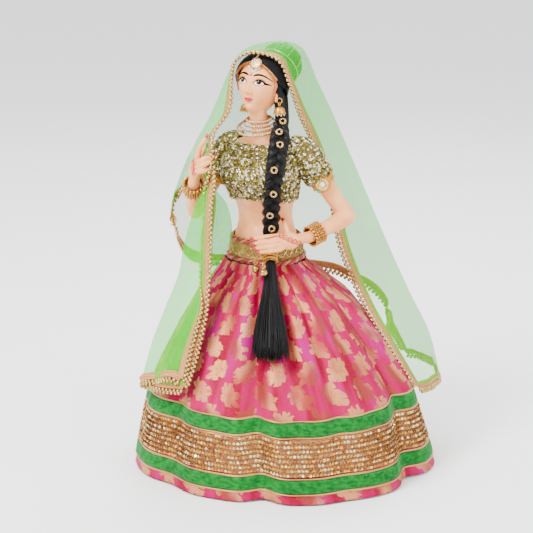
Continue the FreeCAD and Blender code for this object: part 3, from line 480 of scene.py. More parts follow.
def lace_look(name, colour, deep):
    """Gimp woven of metal thread: cross ribs in three plaited rows."""
    look = Look(name, metal=0.3, gloss=0.4)
    u, v = look.uv()
    plait = look.thread(look.sum("ADD", v, look.sum("MULTIPLY", look.thread(u, LACE_WIDTH / 2), 0.9)), 1.25)
    seam = look.thread(u, LACE_WIDTH / 3)
    height = look.sum("MULTIPLY_ADD", seam, 0.5, plait)
    # the tone is partly random, and partly a painted shade that darkens the grooves between the plaited ribs
    tone = look.sum("MULTIPLY_ADD", look.noise(2.5, look.cloth_place(), detail=2), 0.5,
                    look.sum("MULTIPLY", plait, 0.5))
    look.put(colour=look.mixed(look.ease(tone, 0.2, 0.75), deep, colour), rough=0.42)
    return look.bump(height, 0.35)


def skin_look(name, blushed=False):
    """Painted, waxed body colour, as on moulded dolls. The face has a blush on its cheeks."""
    look = Look(name, gloss=0.3, coat=0.12, coat_rough=0.22, flesh=0.12,
                flesh_radius=(1.0, 0.45, 0.25), flesh_scale=0.003)
    mottle = look.noise(14, detail=3)
    pores = look.noise(0.6, detail=2)
    tone = look.mixed(look.ease(mottle, 0.3, 0.75), SKIN_DEEP, SKIN)
    if blushed:
        u, v = look.uv()
        wide = look.sum("DIVIDE", look.sum("SUBTRACT", look.sum("ABSOLUTE", u), 11.0), 5.5)
        tall = look.sum("DIVIDE", look.sum("ADD", v, 5.5), 4.5)
        far = look.sum("SQRT", look.sum("ADD", look.sum("MULTIPLY", wide, wide),
                                        look.sum("MULTIPLY", tall, tall)))
        tone = look.mixed(look.sum("MULTIPLY", look.ease(far, 1.2, 0.0), 0.35), tone, BLUSH)
    look.put(colour=tone, rough=look.blend(pores, 0.33, 0.45))
    return look.bump(look.sum("MULTIPLY_ADD", pores, 0.4, mottle), 0.05)


def hair_look():
    look = Look("hair", gloss=0.14)
    u, v = look.uv()
    strand = look.noise(0.35, look.cloth_place((1, 0.03, 1)), detail=2)
    look.put(colour=look.mixed(look.ease(strand, 0.35, 0.8), (0.0015, 0.0015, 0.0018), (0.010, 0.009, 0.010)),
             rough=look.blend(strand, 0.28, 0.48))
    return look.bump(strand, 0.12)


def satin_look(name, colour, deep, tint):
    look = Look(name, sheen=0.1, sheen_tint=tint, gloss=0.35)
    pull = look.noise(6, look.place((1, 1, 0.5)), detail=2)
    float_line = look.noise(0.3, look.place((0.15, 1, 1)), detail=2)
    look.put(colour=look.mixed(look.ease(pull, 0.3, 0.7), deep, colour),
             rough=look.blend(float_line, 0.3, 0.5))
    return look.bump(float_line, 0.06)


def pearl_look(name, colour, deep):
    look = Look(name, gloss=0.6, coat=0.7, coat_rough=0.1)
    cloud = look.noise(1.2, detail=2)
    look.put(colour=look.mixed(cloud, deep, colour), rough=look.blend(cloud, 0.2, 0.35))
    return look.bump(cloud, 0.02)


def crystal_look(name, colour, deep):
    """Foil-backed glass: bright, with some facets painted darker as painted reflections."""
    look = Look(name, metal=0.35, coat=1.0, coat_rough=0.03, gloss=0.8)
    facet = look.cells(0.7, output="Color")
    grey = look.node("ShaderNodeSeparateColor", {0: facet})
    look.put(colour=look.mixed(look.ease(grey, 0.2, 0.7), deep, colour), rough=look.blend(grey, 0.05, 0.2))
    return look.bump(grey, 0.12)


def wood_look(name, colour, deep, grain):
    look = Look(name, gloss=0.3)
    ring = look.noise(2.2, look.place(grain), detail=4, distortion=0.6)
    fine = look.noise(0.5, look.place(grain), detail=2)
    look.put(colour=look.mixed(look.ease(ring, 0.35, 0.65), deep, colour), rough=look.blend(fine, 0.5, 0.7))
    return look.bump(look.sum("ADD", ring, fine), 0.12)


def cord_look(name, colour, deep, metal=0.0):
    """Twisted yarn."""
    look = Look(name, metal=metal, sheen=0.2, gloss=0.4)
    u, v = look.uv()
    ply = look.thread(look.sum("MULTIPLY_ADD", u, 1.2, v), 0.7)
    # the grooves between the plies are painted darker, as painted shade
    look.put(colour=look.mixed(look.ease(ply, 0.15, 0.7), deep, colour), rough=0.4)
    return look.bump(ply, 0.15)


def stiff_net_look():
    look = Look("stiff net", rough=0.8, gloss=0.2)
    u, v = look.uv()
    threads = look.sum("MAXIMUM", look.thread(u, 1.6), look.thread(v, 1.6))
    # the holes between the threads are painted darker, as painted shade seen through them
    look.put(colour=look.mixed(look.ease(threads, 0.5, 0.95), (0.5, 0.46, 0.4), (0.86, 0.84, 0.78)))
    return look.bump(threads, 0.25)


MOTIF_ACROSS, MOTIF_DROP = 33, 20.5
NET_PITCH, NET_CLEAR, NET_DENSE = 1.1, 0.26, 0.60
LACE_WIDTH = 6.5
SKIN, SKIN_DEEP = (0.93, 0.43, 0.17), (0.84, 0.31, 0.10)

BLUSH = (0.85, 0.20, 0.10)

skin = skin_look("skin").material
skin_face = skin_look("face skin", True).material
hair = hair_look().material
silk = brocade_look("skirt brocade", (0.38, 0.0, 0.058), (0.24, 0.0, 0.012), (0.42, 0.0, 0.20),
                    (0.62, 0.28, 0.10), (0.27, 0.05, 0.025)).material
velvet = velvet_look("green velvet", (0.0, 0.19, 0.018), (0.0, 0.065, 0.006), (0.3, 1.0, 0.4)).material
gold = metal_look("gold", (0.84, 0.48, 0.11), (0.46, 0.19, 0.025)).material
pale_gold = metal_look("pale gold", (0.90, 0.78, 0.50), (0.50, 0.38, 0.18), rough=0.22).material
champagne = metal_look("champagne beads", (0.70, 0.50, 0.20), (0.34, 0.21, 0.06), rough=0.22).material
copper = metal_look("copper thread", (0.52, 0.25, 0.10), (0.24, 0.08, 0.03), rough=0.4).material
bronze = metal_look("bronze beads", (0.40, 0.20, 0.05), (0.12, 0.04, 0.01), rough=0.3).material
orange_glass = paint_look("orange beads", (0.70, 0.15, 0.01), (0.40, 0.06, 0.005), coat=0.5).material
olive = metal_look("olive sequins", (0.42, 0.34, 0.09), (0.12, 0.09, 0.015), rough=0.28).material
silver_sequin = metal_look("silver sequins", (0.85, 0.84, 0.70), (0.50, 0.46, 0.28), rough=0.2).material
net = net_look("green net", (0.02, 0.64, 0.0), (0.012, 0.50, 0.0)).material
lace = lace_look("gold lace", (0.80, 0.37, 0.14), (0.36, 0.11, 0.03)).material
red_yarn = cord_look("red cord", (0.32, 0.0, 0.007), (0.10, 0.0, 0.003)).material
gold_yarn = cord_look("gold cord", (0.68, 0.37, 0.11), (0.28, 0.11, 0.025), metal=0.6).material
dark_green_yarn = cord_look("stitches", (0.01, 0.12, 0.03), (0.003, 0.05, 0.01)).material
satin = satin_look("green satin", (0.005, 0.032, 0.001), (0.002, 0.014, 0.001), (0.5, 1.0, 0.4)).material
pearl = pearl_look("pearl", (0.88, 0.84, 0.76), (0.70, 0.64, 0.56)).material
crystal = crystal_look("crystal", (0.95, 0.95, 0.93), (0.42, 0.40, 0.38)).material
green_glass = crystal_look("green glass", (0.02, 0.35, 0.08), (0.003, 0.08, 0.02)).material
red_paint = paint_look("red paint", (0.52, 0.0, 0.006), (0.36, 0.0, 0.003)).material
lip_paint = paint_look("lip paint", (0.66, 0.012, 0.05), (0.46, 0.006, 0.02)).material
brown_paint = paint_look("brown paint", (0.16, 0.05, 0.02), (0.08, 0.02, 0.008), 0.6, 0.0, 0.1).material
black_paint = paint_look("black paint", (0.004, 0.003, 0.003), (0.001, 0.001, 0.001), 0.6, 0.0, 0.1).material
white_paint = paint_look("white paint", (0.86, 0.83, 0.80), (0.78, 0.72, 0.68)).material
iris_paint = paint_look("iris paint", (0.07, 0.012, 0.004), (0.02, 0.003, 0.001), 0.5, 0.0, 0.15).material
belt_silk = brocade_look("belt brocade", (0.17, 0.11, 0.014), (0.07, 0.04, 0.005), (0.3, 0.2, 0.04),
                         (0.50, 0.34, 0.10), (0.26, 0.13, 0.03)).material
blouse_cloth = cord_look("blouse ground", (0.22, 0.17, 0.04), (0.07, 0.05, 0.01), metal=0.5).material
stiff_net = stiff_net_look().material
pale_wood = wood_look("base wood", (0.60, 0.40, 0.22), (0.42, 0.25, 0.12), (0.1, 1, 1)).material
dowel_wood = wood_look("dowel wood", (0.68, 0.50, 0.30), (0.50, 0.33, 0.18), (1, 1, 0.06)).material
steel = metal_look("steel wire", (0.62, 0.61, 0.60), (0.40, 0.39, 0.38)).material
brass = metal_look("bell brass", (0.62, 0.38, 0.14), (0.30, 0.15, 0.04), rough=0.25, spot=2.5).material


# ---- level outlines -----------------------------------------------------------------------------
# height, centre x, centre y, half-width, half-depth
SKIRT = [(0, 18, -2, 137, 131), (76, 14, -1.5, 118, 116), (120, 11, -1, 93, 94),
         (150, 7, -1, 71, 72), (170, 3, -1, 49.5, 49), (183, 0, -2, 36, 31)]
TORSO = [(183, 1, -3, 31, 25), (205, 1, -3, 28, 22), (222, 0, -2, 24.5, 17), (240, 0, -5, 27, 21),
         (262, -1, -8, 32, 27), (278, -1, -5, 33, 21), (290, 0, -2, 27, 13), (297, 1, -1, 11, 10)]
FRONT = -90 + CAMERA_AZIMUTH      # the direction that faces the camera, in degrees about +Z
# folds of the skirt: degrees right of the camera-facing direction, depth and half-width
LOBES = [(-9, 10, 6), (57, 11, 8), (-50, 6, 9), (23, 3, 9), (98, 9, 9), (140, 8, 10), (183, 9, 9),
         (228, 8, 10), (265, 9, 8)]
PLEATS = [-102, -80, -50, -29, -12, 7, 25, 41, 62, 84, 108, 131, 153, 176, 199, 222, 240]
SKIRT_FOOT, SKIRT_TOP = 1.0, 184


def at_level(levels, z):
    """Centre and half sizes of an outline at heights, smooth between its levels."""
    levels = np.asarray(levels, float)
    return catmull(levels[:, 1:], np.interp(z, levels[:, 0], np.arange(len(levels))))


def gap(angle, at):
    """Degrees between two directions, from -180 to 180."""
    return (angle - at + 180) % 360 - 180


def fold(phi, z):
    """How far the skirt stands out from its level outline, in its folds."""
    rise = np.clip(1 - z / 182, 0, 1)
    out = np.zeros(np.broadcast(phi, z).shape)
    for at, depth, width in LOBES:
        lean = at + 6 * np.sin(at) * (z / 182)
        out = out - depth * rise ** 0.55 * np.exp(-(gap(phi, lean) / width) ** 2)
    pleat = np.interp(z, [0, 30, 80, 125, 155, 176, 185], [0.4, 1.2, 4.8, 8.0, 7.6, 4.4, 1.2])
    for k, at in enumerate(PLEATS):
        lean = at + 5 * np.sin(7.0 * k) * (1 - z / 182)
        width = 4.6 + 1.3 * np.sin(3.0 * k)
        out = out - pleat * (0.75 + 0.35 * np.cos(5.0 * k)) * np.exp(-(gap(phi, lean) / width) ** 2)
    # the cloth is stiff: it stands out most at the front, above its trims
    swell = np.exp(-((z - 72) / 42) ** 2) * np.exp(-(gap(phi, 8) / 42) ** 2)
    out = out + 11 * swell + 1.2 + 1.1 * np.sin(np.radians(phi * 5 + z * 0.6)) * rise
    return out


def skirt_points(phi, z, lift=0.0):
    """Points of the cloth at directions and heights, lifted outwards."""
    size = at_level(SKIRT, z.ravel()).reshape(z.shape + (4,))
    theta = np.radians(phi + FRONT)
    out = fold(phi, z) + lift
    return np.stack([size[..., 0] + np.cos(theta) * (size[..., 2] + out),
                     size[..., 1] + np.sin(theta) * (size[..., 3] + out), z], axis=-1)


def hem_lift(phi):
    """The hem isn't quite level: it rises a little in the valleys."""
    lift = np.zeros_like(phi)
    for at, depth, width in LOBES:
        lift = lift + 0.12 * depth * np.exp(-(gap(phi, at) / width) ** 2)
    return lift


HEM_ROUND = 126     # the radius at which the cloth was cut, for its pattern


def skirt_band(low, high, rows, columns, lift):
    """A band of the cloth between two heights, with its flat coordinates."""
    phi = np.linspace(-180, 180, columns, endpoint=False)
    share = np.linspace(0, 1, rows)[:, None]
    base = hem_lift(phi)[None]
    z = low + base + (high - low) * share * np.ones((1, columns))
    points = skirt_points(np.broadcast_to(phi, z.shape), z, lift)
    rise = np.linalg.norm(np.diff(points, axis=0), axis=2).mean(axis=1)
    v = np.concatenate([[0], np.cumsum(rise)])[:, None] * np.ones((1, columns + 1))
    u = np.radians(np.linspace(-180, 180, columns + 1))[None] * HEM_ROUND * np.ones((rows, 1))
    return grid(points, True, np.stack([u, v], axis=2))


def skirt_line(z, step, lift):
    """Points along the cloth at a height, at an even step, with the outward directions."""
    phi = np.linspace(-180, 180, 721)
    line = skirt_points(phi, z + hem_lift(phi), lift)
    line = respaced(line, step)[:-1]
    beyond = np.roll(line, -1, axis=0) - np.roll(line, 1, axis=0)
    out = unit(np.cross(beyond, (0.0, 0, 1)) + (0, 0, 0.12))
    return line, out


skirt = piece("skirt_cloth", skirt_band(SKIRT_FOOT, SKIRT_TOP, 150, 900, 0.0), silk,
              replaces=["skirt"], slot="skirt_brocade", thick=0.8)
turned_up = piece("skirt_hem_fold", skirt_band(SKIRT_FOOT + 0.3, 15, 8, 600, -1.0), silk,
                  slot="skirt_brocade")
petticoat = piece("petticoat_net", skirt_band(1.2, 168, 60, 360, -5.0), stiff_net,
                  replaces=["petticoat"], slot="stiff_net", thick=1.0)

# heights of the trims above the hem
HEM_STRIP, RIBBON, SEQUINS, PIPING, SPACE = 8.0, 11.5, 33.5, 1.4, 0.4
TRIM_LIFT = 0.9
heights, level = {}, 0.8 + HEM_STRIP
for trim, width in (("piping_0", PIPING), ("ribbon_lower", RIBBON), ("piping_1", PIPING),
                    ("sequin_band", SEQUINS),
                    ("piping_2", PIPING), ("ribbon_upper", RIBBON), ("piping_3", PIPING)):
    heights[trim] = (level, level + width)
    level += width + SPACE

stitch = turned([(0, -1.1), (0.22, -0.7), (0.28, 0), (0.22, 0.7), (0, 1.1)], 6)


def stitches(z, lift):
    """Running stitches along the cloth at a height."""
    line, out = skirt_line(z, 3.3, lift)
    along = unit(np.roll(line, -1, axis=0) - np.roll(line, 1, axis=0))
    return scatter(stitch, line, axes_from(along, out))


ribbons = []
for trim in ("ribbon_lower", "ribbon_upper"):
    low, high = heights[trim]
    band = skirt_band(low, high, 12, 900, TRIM_LIFT)
    # the pile swells in the middle and is pressed down by the stitching near each edge
    across = np.repeat(np.linspace(-1, 1, 12), 900)
    swell = (0.55 * (1 - np.abs(across) ** 4)
             + 0.12 * draw.standard_normal(len(across)) * (np.abs(across) < 0.7))
    middle = np.array((SKIRT[0][1], SKIRT[0][2], 0))
    outward = unit((band[0] - middle) * (1, 1, 0))
    band = (band[0] + outward * swell[:, None], band[1], band[2])
    ribbon = piece(f"{trim}_velvet", band, velvet, replaces=[trim], slot="green_velvet", thick=0.7)
    seams = merged(stitches(low + 1.3, TRIM_LIFT + 1.0), stitches(high - 1.3, TRIM_LIFT + 1.0))
    ribbons += [ribbon, piece(f"{trim}_stitches", seams, dark_green_yarn, slot="green_velvet")]

# gold cord along each edge of the ribbons: two plies twisted together
plies = []
for k in range(4):
    low, high = heights[f"piping_{k}"]
    line, out = skirt_line((low + high) / 2, 0.9, TRIM_LIFT + 0.5)
    angle = np.arange(len(line)) * TURN / round(len(line) / 4)
    for ply in (0, math.pi):
        off = out * np.cos(angle + ply)[:, None] + np.array((0, 0, 1)) * np.sin(angle + ply)[:, None]
        plies.append(tube(line + off * 0.42, 0.45, 6, closed=True))
piece("piping_cord", merged(*plies), gold_yarn, replaces=["gold_piping"], slot="gold_braid")

# the wide band: a copper-thread ground, rows of sequins caught down by zigzag stitching
low, high = heights["sequin_band"]
ground = piece("sequin_ground", skirt_band(low, high, 20, 720, TRIM_LIFT - 0.3), copper,
               slot="sequins", thick=0.5)
sequin = turned([(0, -0.12), (1.0, -0.05), (1.32, 0.16), (1.05, 0.16), (0.45, 0.02), (0, 0.05)], 10)
small_bead = bead(7, 4)
SEQUIN_ROWS = 8
rows = {"gold": [], "pale": [], "copper": [], "thread": []}
pitch = (high - low) / SEQUIN_ROWS
for row in range(SEQUIN_ROWS):
    z = low + (row + 0.5) * pitch
    line, out = skirt_line(z, 3.2, TRIM_LIFT + 0.75)
    count = len(line)
    tilt = out + 0.33 * draw.standard_normal((count, 3))
    axes = spin(axes_from(tilt), draw.uniform(0, TURN, count))
    kind = draw.choice(["gold", "pale", "copper"], count, p=[0.42, 0.38, 0.20])
    for name in ("gold", "pale", "copper"):
        pick = kind == name
        rows[name].append(scatter(sequin, line[pick], axes[pick], draw.uniform(0.9, 1.12, pick.sum())))
    middle_bead, outward = skirt_line(z, 3.2, TRIM_LIFT + 1.2)
    rows["gold"].append(scatter(small_bead, middle_bead, size=0.42))
    # zigzag stitching between this row and the next
    zig, out = skirt_line(z + pitch / 2, 1.6, TRIM_LIFT + 0.65)
    zig = zig + np.where(np.arange(len(zig)) % 2, 0.75, -0.75)[:, None] * np.array((0, 0, 1))
    if row < SEQUIN_ROWS - 1:
        rows["thread"].append(tube(zig, 0.33, 5, closed=True))
sequin_rows = piece("sequin_rows", [merged(*rows["gold"]), merged(*rows["pale"]), merged(*rows["copper"]),
                             merged(*rows["thread"])], [gold, pale_gold, copper, bronze],
             replaces=["sequin_band"], slot="sequins", smooth=True)

# ---- body: torso, belt and blouse ---------------------------------------------------------------
def torso_points(theta, z, lift=0.0):
    size = at_level(TORSO, np.asarray(z, float).ravel()).reshape(np.shape(z) + (4,))
    c, s = np.cos(theta), np.sin(theta)
    # a little squarer than an ellipse, so that the chest and back are broad
    square = (np.abs(c) ** 2.4 + np.abs(s) ** 2.4) ** (-1 / 2.4)
    return np.stack([size[..., 0] + c * square * (size[..., 2] + lift),
                     size[..., 1] + s * square * (size[..., 3] + lift), z * np.ones_like(c)], axis=-1)


def level_band(low, high, rows, columns, lift, shape=None):
    """A band round the torso between two heights; shape may move each point out and up."""
    theta = np.linspace(0, TURN, columns, endpoint=False)[None] * np.ones((rows, 1))
    z = np.linspace(low, high, rows)[:, None] * np.ones((1, columns))
    out, up = shape(theta, z) if shape else (0.0, 0.0)
    points = torso_points(theta, z, lift + out) + np.stack([0 * z, 0 * z, z * 0 + up], axis=-1)
    u = np.linspace(0, TURN, columns + 1)[None] * 28 * np.ones((rows, 1))
    v = np.linspace(low, high, rows)[:, None] * np.ones((1, columns + 1))
    return grid(points, True, np.stack([u, v], axis=2))


def chest(theta, z):
    """The bust, a hollow down the spine and a navel."""
    front = np.array(-math.pi / 2)
    out = np.zeros_like(theta)
    for side in (-1, 1):
        turn = np.angle(np.exp(1j * (theta - front - side * 0.42)))
        out += 6.0 * np.exp(-(turn / 0.40) ** 2 - ((z - 262) / 10.5) ** 2)
    spine = np.angle(np.exp(1j * (theta - math.pi / 2)))
    out -= 2.2 * np.exp(-(spine / 0.22) ** 2 - ((z - 235) / 30) ** 2)
    middle = np.angle(np.exp(1j * (theta - front)))
    out -= 1.6 * np.exp(-(middle / 0.07) ** 2 - ((z - 217) / 2.2) ** 2)
    out -= 0.6 * np.exp(-(middle / 0.10) ** 2 - ((z - 232) / 12) ** 2)
    return out, 0.0


def remeshed(name, shapes, voxel, smoothing, material, **more):
    """Overlapping closed shapes as one smooth closed skin."""
    obj = piece(name, [merged(*shapes)], material, **more)
    join = obj.modifiers.new("join", "REMESH")
    join.mode, join.voxel_size = "VOXEL", voxel * MM
    soft = obj.modifiers.new("soften", "SMOOTH")
    soft.factor, soft.iterations = 0.5, smoothing
    graph = bpy.context.evaluated_depsgraph_get()
    data = bpy.data.meshes.new_from_object(obj.evaluated_get(graph))
    obj.modifiers.clear()
    obj.data = data
    data.materials.clear()
    data.materials.append(material)
    data.polygons.foreach_set("use_smooth", [True] * len(data.polygons))
    return obj


def closed_levels(low, high, rows, columns, shape):
    """The torso between two heights, closed at both ends."""
    band, faces, _ = level_band(low, high, rows, columns, 0, shape)
    last = len(band)
    ends = np.array([band[:columns].mean(axis=0), band[-columns:].mean(axis=0)])
    k = np.arange(columns)
    bottom = np.stack([np.full(columns, last), (k + 1) % columns, k, k], axis=1)
    top = np.stack([np.full(columns, last + 1), last - columns + k, last - columns + (k + 1) % columns,
                    last - columns + (k + 1) % columns], axis=1)
    return np.concatenate([band, ends]), np.concatenate([faces, bottom, top]), None


def capsule(start, end, start_radius, end_radius, rings=9, sides=24):
    """A tapered length with round ends."""
    start, end = np.asarray(start, float), np.asarray(end, float)
    run = np.linalg.norm(end - start)
    profile = [(0, -start_radius)]
    profile += [(start_radius * math.cos(a), start_radius * math.sin(a))
                for a in np.linspace(-math.pi / 2, 0, rings)[1:]]
    profile += [(end_radius * math.cos(a), run + end_radius * math.sin(a))
                for a in np.linspace(0, math.pi / 2, rings)[:-1]]
    profile += [(0, run + end_radius)]
    points, faces, _ = turned(profile, sides)
    axes = axes_from((end - start)[None])[0]
    return points @ axes.T + start, faces, None


def ellipsoid(centre, axes, sizes, sides=28, levels=16):
    points, faces, _ = bead(sides, levels)
    return (points * np.asarray(sizes)) @ np.asarray(axes).T + np.asarray(centre), faces, None


SHOULDER = {"left": (37, 1, 279), "right": (-37, 1, 279)}
ELBOW = {"left": (71, 18, 224), "right": (-63, -16, 224)}
WRIST = {"left": (50, -20, 211), "right": (-50, -45, 256)}
neck_curve = catmull([(0, 1, 285), (-1.8, -3, 296), (-3.8, -6.8, 307), (-4.8, -8.5, 320), (-4.6, -9, 326)],
                     np.linspace(0, 4, 24))
neck_width = np.interp(np.linspace(0, 4, 24), [0, 1, 2, 3, 4], [12.5, 9.8, 8.0, 8.0, 9.0])
shoulders = [capsule((8 * s, 0, 287), (33 * s, 1, 282), 6, 8.4) for s in (-1, 1)]
torso = remeshed("torso_skin", [closed_levels(184, 293, 90, 160, chest), tube(neck_curve, neck_width, 32)]
                 + shoulders, 1.3, 9, skin, replaces=["torso"], slot="skin")


def surface_of(obj):
    """What a ray or a nearest-point search meets on a piece."""
    graph = bpy.context.evaluated_depsgraph_get()
    return BVHTree.FromObject(obj.evaluated_get(graph) if obj.modifiers else obj, graph)


torso_surface = surface_of(torso)


def pushed_out(points, tree, clear):
    """Points moved so that they stand at least a clearance off a surface."""
    found = []
    for p in np.atleast_2d(points):
        at, normal, _, _ = tree.find_nearest(Vector(p * MM))
        at, normal = np.array(at) / MM, np.array(normal)
        found.append(p + normal * max(0.0, clear - (p - at).dot(normal)))
    return np.array(found)


# belt: a brocade band between twisted cords, lower at the front
BELT_LOW, BELT_WIDTH = 190, 12.5


def belt_sag(theta, z):
    front = np.cos(theta - math.radians(FRONT - 12))
    return 0.5 * np.cos(theta * 9 + z) * 0.4, -1.8 * front


belt = piece("waist_belt_cloth", level_band(BELT_LOW, BELT_LOW + BELT_WIDTH, 14, 240, 2.0, belt_sag),
             belt_silk, replaces=["waist_belt"], slot="belt_brocade", thick=1.3)


def belt_line(height, lift):
    theta = np.linspace(0, TURN, 361)
    z = np.full_like(theta, height)
    out, up = belt_sag(theta, z)
    line = torso_points(theta, z, lift + out) + np.stack([0 * z, 0 * z, up], axis=-1)
    return respaced(line, 0.8)[:-1]


def twisted(line, radius, turns, plies, ply_radius, phase=0.0):
    """Plies of a cord twisted round a closed line."""
    out = unit(np.cross(np.roll(line, -1, axis=0) - np.roll(line, 1, axis=0), (0.0, 0, 1)))
    angle = np.arange(len(line)) * TURN * turns / len(line)
    made = []
    for k in range(plies):
        turn = angle + TURN * k / plies + phase
        off = out * np.cos(turn)[:, None] + np.array((0, 0, 1.0)) * np.sin(turn)[:, None]
        made.append(tube(line + off * radius, ply_radius, 8, closed=True))
    return made


for name, height, lift in (("waist_cord_lower", BELT_LOW - 1.7, 3.6),
                           ("waist_cord_upper", BELT_LOW + BELT_WIDTH + 1.7, 2.8)):
    cord = belt_line(height, lift)
    one, two, three = twisted(cord, 1.0, 18, 3, 1.0)
    second = belt_line(height + (1.9 if "upper" in name else -1.9), lift - 0.3)
    four, five = twisted(second, 0.55, 30, 2, 0.6)
    piece(f"{name}_plies", [merged(one, two), three, four, five], [red_yarn, gold_yarn, gold_yarn, red_yarn],
          replaces=[name], slot="waist_cord")
# gold stitching over the band, as leaves along a stem
stem_theta = np.linspace(0, TURN, 721)
stems = []
for shift in (0.0, math.pi):
    z = BELT_LOW + BELT_WIDTH / 2 + 3.6 * np.sin(stem_theta * 14 + shift)
    out, up = belt_sag(stem_theta, z)
    line = torso_points(stem_theta, z, 3.6 + out) + np.stack([0 * z, 0 * z, up + 0 * z], axis=-1)
    stems.append(tube(respaced(line, 0.9)[:-1], 0.38, 6, closed=True))
piece("belt_embroidery", merged(*stems), champagne, slot="belt_brocade")

# blouse: gathered cloth covered with sequins
BLOUSE_LOW, BLOUSE_TOP = 241, 289


def blouse_edge(theta, z):
    """The cloth follows the chest, and its neckline dips at the front."""
    out, _ = chest(theta, z)
    front = np.cos(theta + math.pi / 2)
    high = np.clip((z - 262) / 27, 0, 1)
    low = np.clip((256 - z) / 15, 0, 1)
    up = -1.0 * high * np.clip(front, 0, 1) ** 2 - 1.5 * low * np.cos(2 * theta)
    ruffle = 0.5 * np.sin(theta * 23) * (0.3 + low) + 0.4 * np.sin(theta * 37 + 1)
    return out + ruffle, up


blouse = piece("blouse_cloth", level_band(BLOUSE_LOW, BLOUSE_TOP, 44, 260, 0.9, blouse_edge), blouse_cloth,
               replaces=["blouse_body"], slot="blouse_sequins", thick=0.7)


def rows_over(points, step_up, step_round, jitter):
    """Evenly spread points over a closed band of rows, with outward directions."""
    rows = points.shape[0]
    height = np.linalg.norm(np.diff(points, axis=0), axis=2).mean(axis=1).sum()
    spots, outs = [], []
    for k, r in enumerate(np.linspace(0, rows - 1, max(2, int(height / step_up)))):
        i = min(int(r), rows - 2)
        line = points[i] + (points[i + 1] - points[i]) * (r - i)
        rise = points[i + 1] - points[i]
        along = np.roll(line, -1, axis=0) - np.roll(line, 1, axis=0)
        out = unit(np.cross(along, rise))
        both = np.concatenate([line, out], axis=1)
        both = np.concatenate([both, both[:1]])
        run = np.concatenate([[0], np.cumsum(np.linalg.norm(np.diff(both[:, :3], axis=0), axis=1))])
        count = max(3, int(run[-1] / step_round))
        spaced = (np.arange(count) + 0.5 * (k % 2)) * run[-1] / count
        at = (spaced + draw.uniform(-jitter, jitter, count)) % run[-1]
        both = np.stack([np.interp(at, run, both[:, c]) for c in range(6)], axis=1)
        spots.append(both[:, :3])
        outs.append(unit(both[:, 3:]))
    return np.concatenate(spots), np.concatenate(outs)


cupped = turned([(0, -0.1), (0.9, 0.12), (1.25, 0.62), (1.0, 0.5), (0.5, 0.1), (0, 0.06)], 8)


def sequined(name, grids, body, replaces, step=1.75):
    """Overlapping cupped sequins, standing at odd angles."""
    shapes = [[], [], []]
    for points in grids:
        at, out = rows_over(points, step, step, 0.35)
        tilt = out + 0.42 * draw.standard_normal(out.shape) + np.array((0, 0, -0.25))
        axes = spin(axes_from(tilt), draw.uniform(0, TURN, len(at)))
        kind = draw.choice(3, len(at), p=[0.55, 0.27, 0.18])
        for k in range(3):
            pick = kind == k
            shapes[k].append(scatter(cupped, at[pick] + out[pick] * 0.45, axes[pick],
                                     draw.uniform(0.85, 1.25, pick.sum())))
    return piece(name, [merged(*s) for s in shapes], [olive, silver_sequin, pale_gold], body=body,
                 replaces=replaces, slot="blouse_sequins")


def band_points(low, high, rows, columns, lift, shape):
    return level_band(low, high, rows, columns, lift, shape)[0].reshape(rows, columns, 3)


def open_tube(line, radius, columns, start):
    """The rows of a round sleeve along a line."""
    _, side, other = frames(np.asarray(line, float), start)
    turn = np.linspace(0, TURN, columns, endpoint=False)
    ring = side[:, None] * np.cos(turn)[None, :, None] + other[:, None] * np.sin(turn)[None, :, None]
    ripple = 1 + 0.03 * np.sin(turn * 9)[None] * np.linspace(0.2, 1, len(line))[:, None]
    return line[:, None] + ring * (np.asarray(radius)[:, None] * ripple)[..., None]


sleeves, sleeve_tops = {}, {}
for side, at in SHOULDER.items():
    sign = 1 if side == "left" else -1
    run = unit(np.subtract(ELBOW[side], at))
    line = evenly([np.array(at) - run * 4 - np.array((sign * 12, 0, -3.0)), np.array(at) - run * 1.5,
                   np.array(at) + run * 10, np.array(at) + run * 23], 1.0)
    share = np.linspace(0, 1, len(line))
    radius = np.interp(share, [0, 0.15, 0.4, 0.75, 1], [9.5, 11.5, 12.3, 12.2, 11.4])
    sleeves[side] = open_tube(line, radius, 90, (0, 0, 1.0))
    sleeve_tops[side] = open_tube(line, radius + 0.9, 90, (0, 0, 1.0))
    piece(f"sleeve_{side}_cloth", grid(sleeves[side], True), blouse_cloth, replaces=[f"sleeve_{side}"],
          slot="blouse_sequins", thick=0.7)
sequined("blouse_sequin_cover", [band_points(BLOUSE_LOW, BLOUSE_TOP, 44, 260, 1.7, blouse_edge)],
         "figure", [])
sequined("sleeve_sequin_cover", [sleeve_tops["left"], sleeve_tops["right"]], "figure", [])

# ---- arms and hands -----------------------------------------------------------------------------
FINGERS = {
    "left": [[(31, -40, 214.5), (20.5, -45.8, 213.8), (9.5, -46.5, 212)],
             [(30.5, -41, 210.5), (20.5, -46.6, 209.4), (10.5, -47, 207.5)],
             [(31, -41, 206.5), (21.5, -46.6, 205.2), (12, -47, 203.3)],
             [(32, -40, 203), (23.5, -45.4, 201.6), (15, -46, 199.6)],
             [(36, -31, 214), (31, -26, 220), (27, -22.5, 224)]],
    "right": [[(-44, -49, 277), (-39, -54, 290), (-33, -52, 299)],
              [(-43, -50, 275), (-33, -58, 281), (-26, -54, 283)],
              [(-43, -51, 272), (-33, -59, 276), (-26, -55, 279)],
              [(-43, -51, 268), (-35, -58, 270), (-29, -55, 272)],
              [(-46, -46, 273), (-41, -43, 284), (-36, -45, 290)]],
}
PALM = {"left": (38, -34, 209.5), "right": (-46, -48, 270)}
PALM_AXES = {"left": axes_from(np.array([(0.60, -0.79, 0.12)]), (-0.74, -0.62, -0.1))[0],
             "right": axes_from(np.array([(-0.35, -0.93, 0.1)]), (0.15, -0.1, 0.98))[0]}
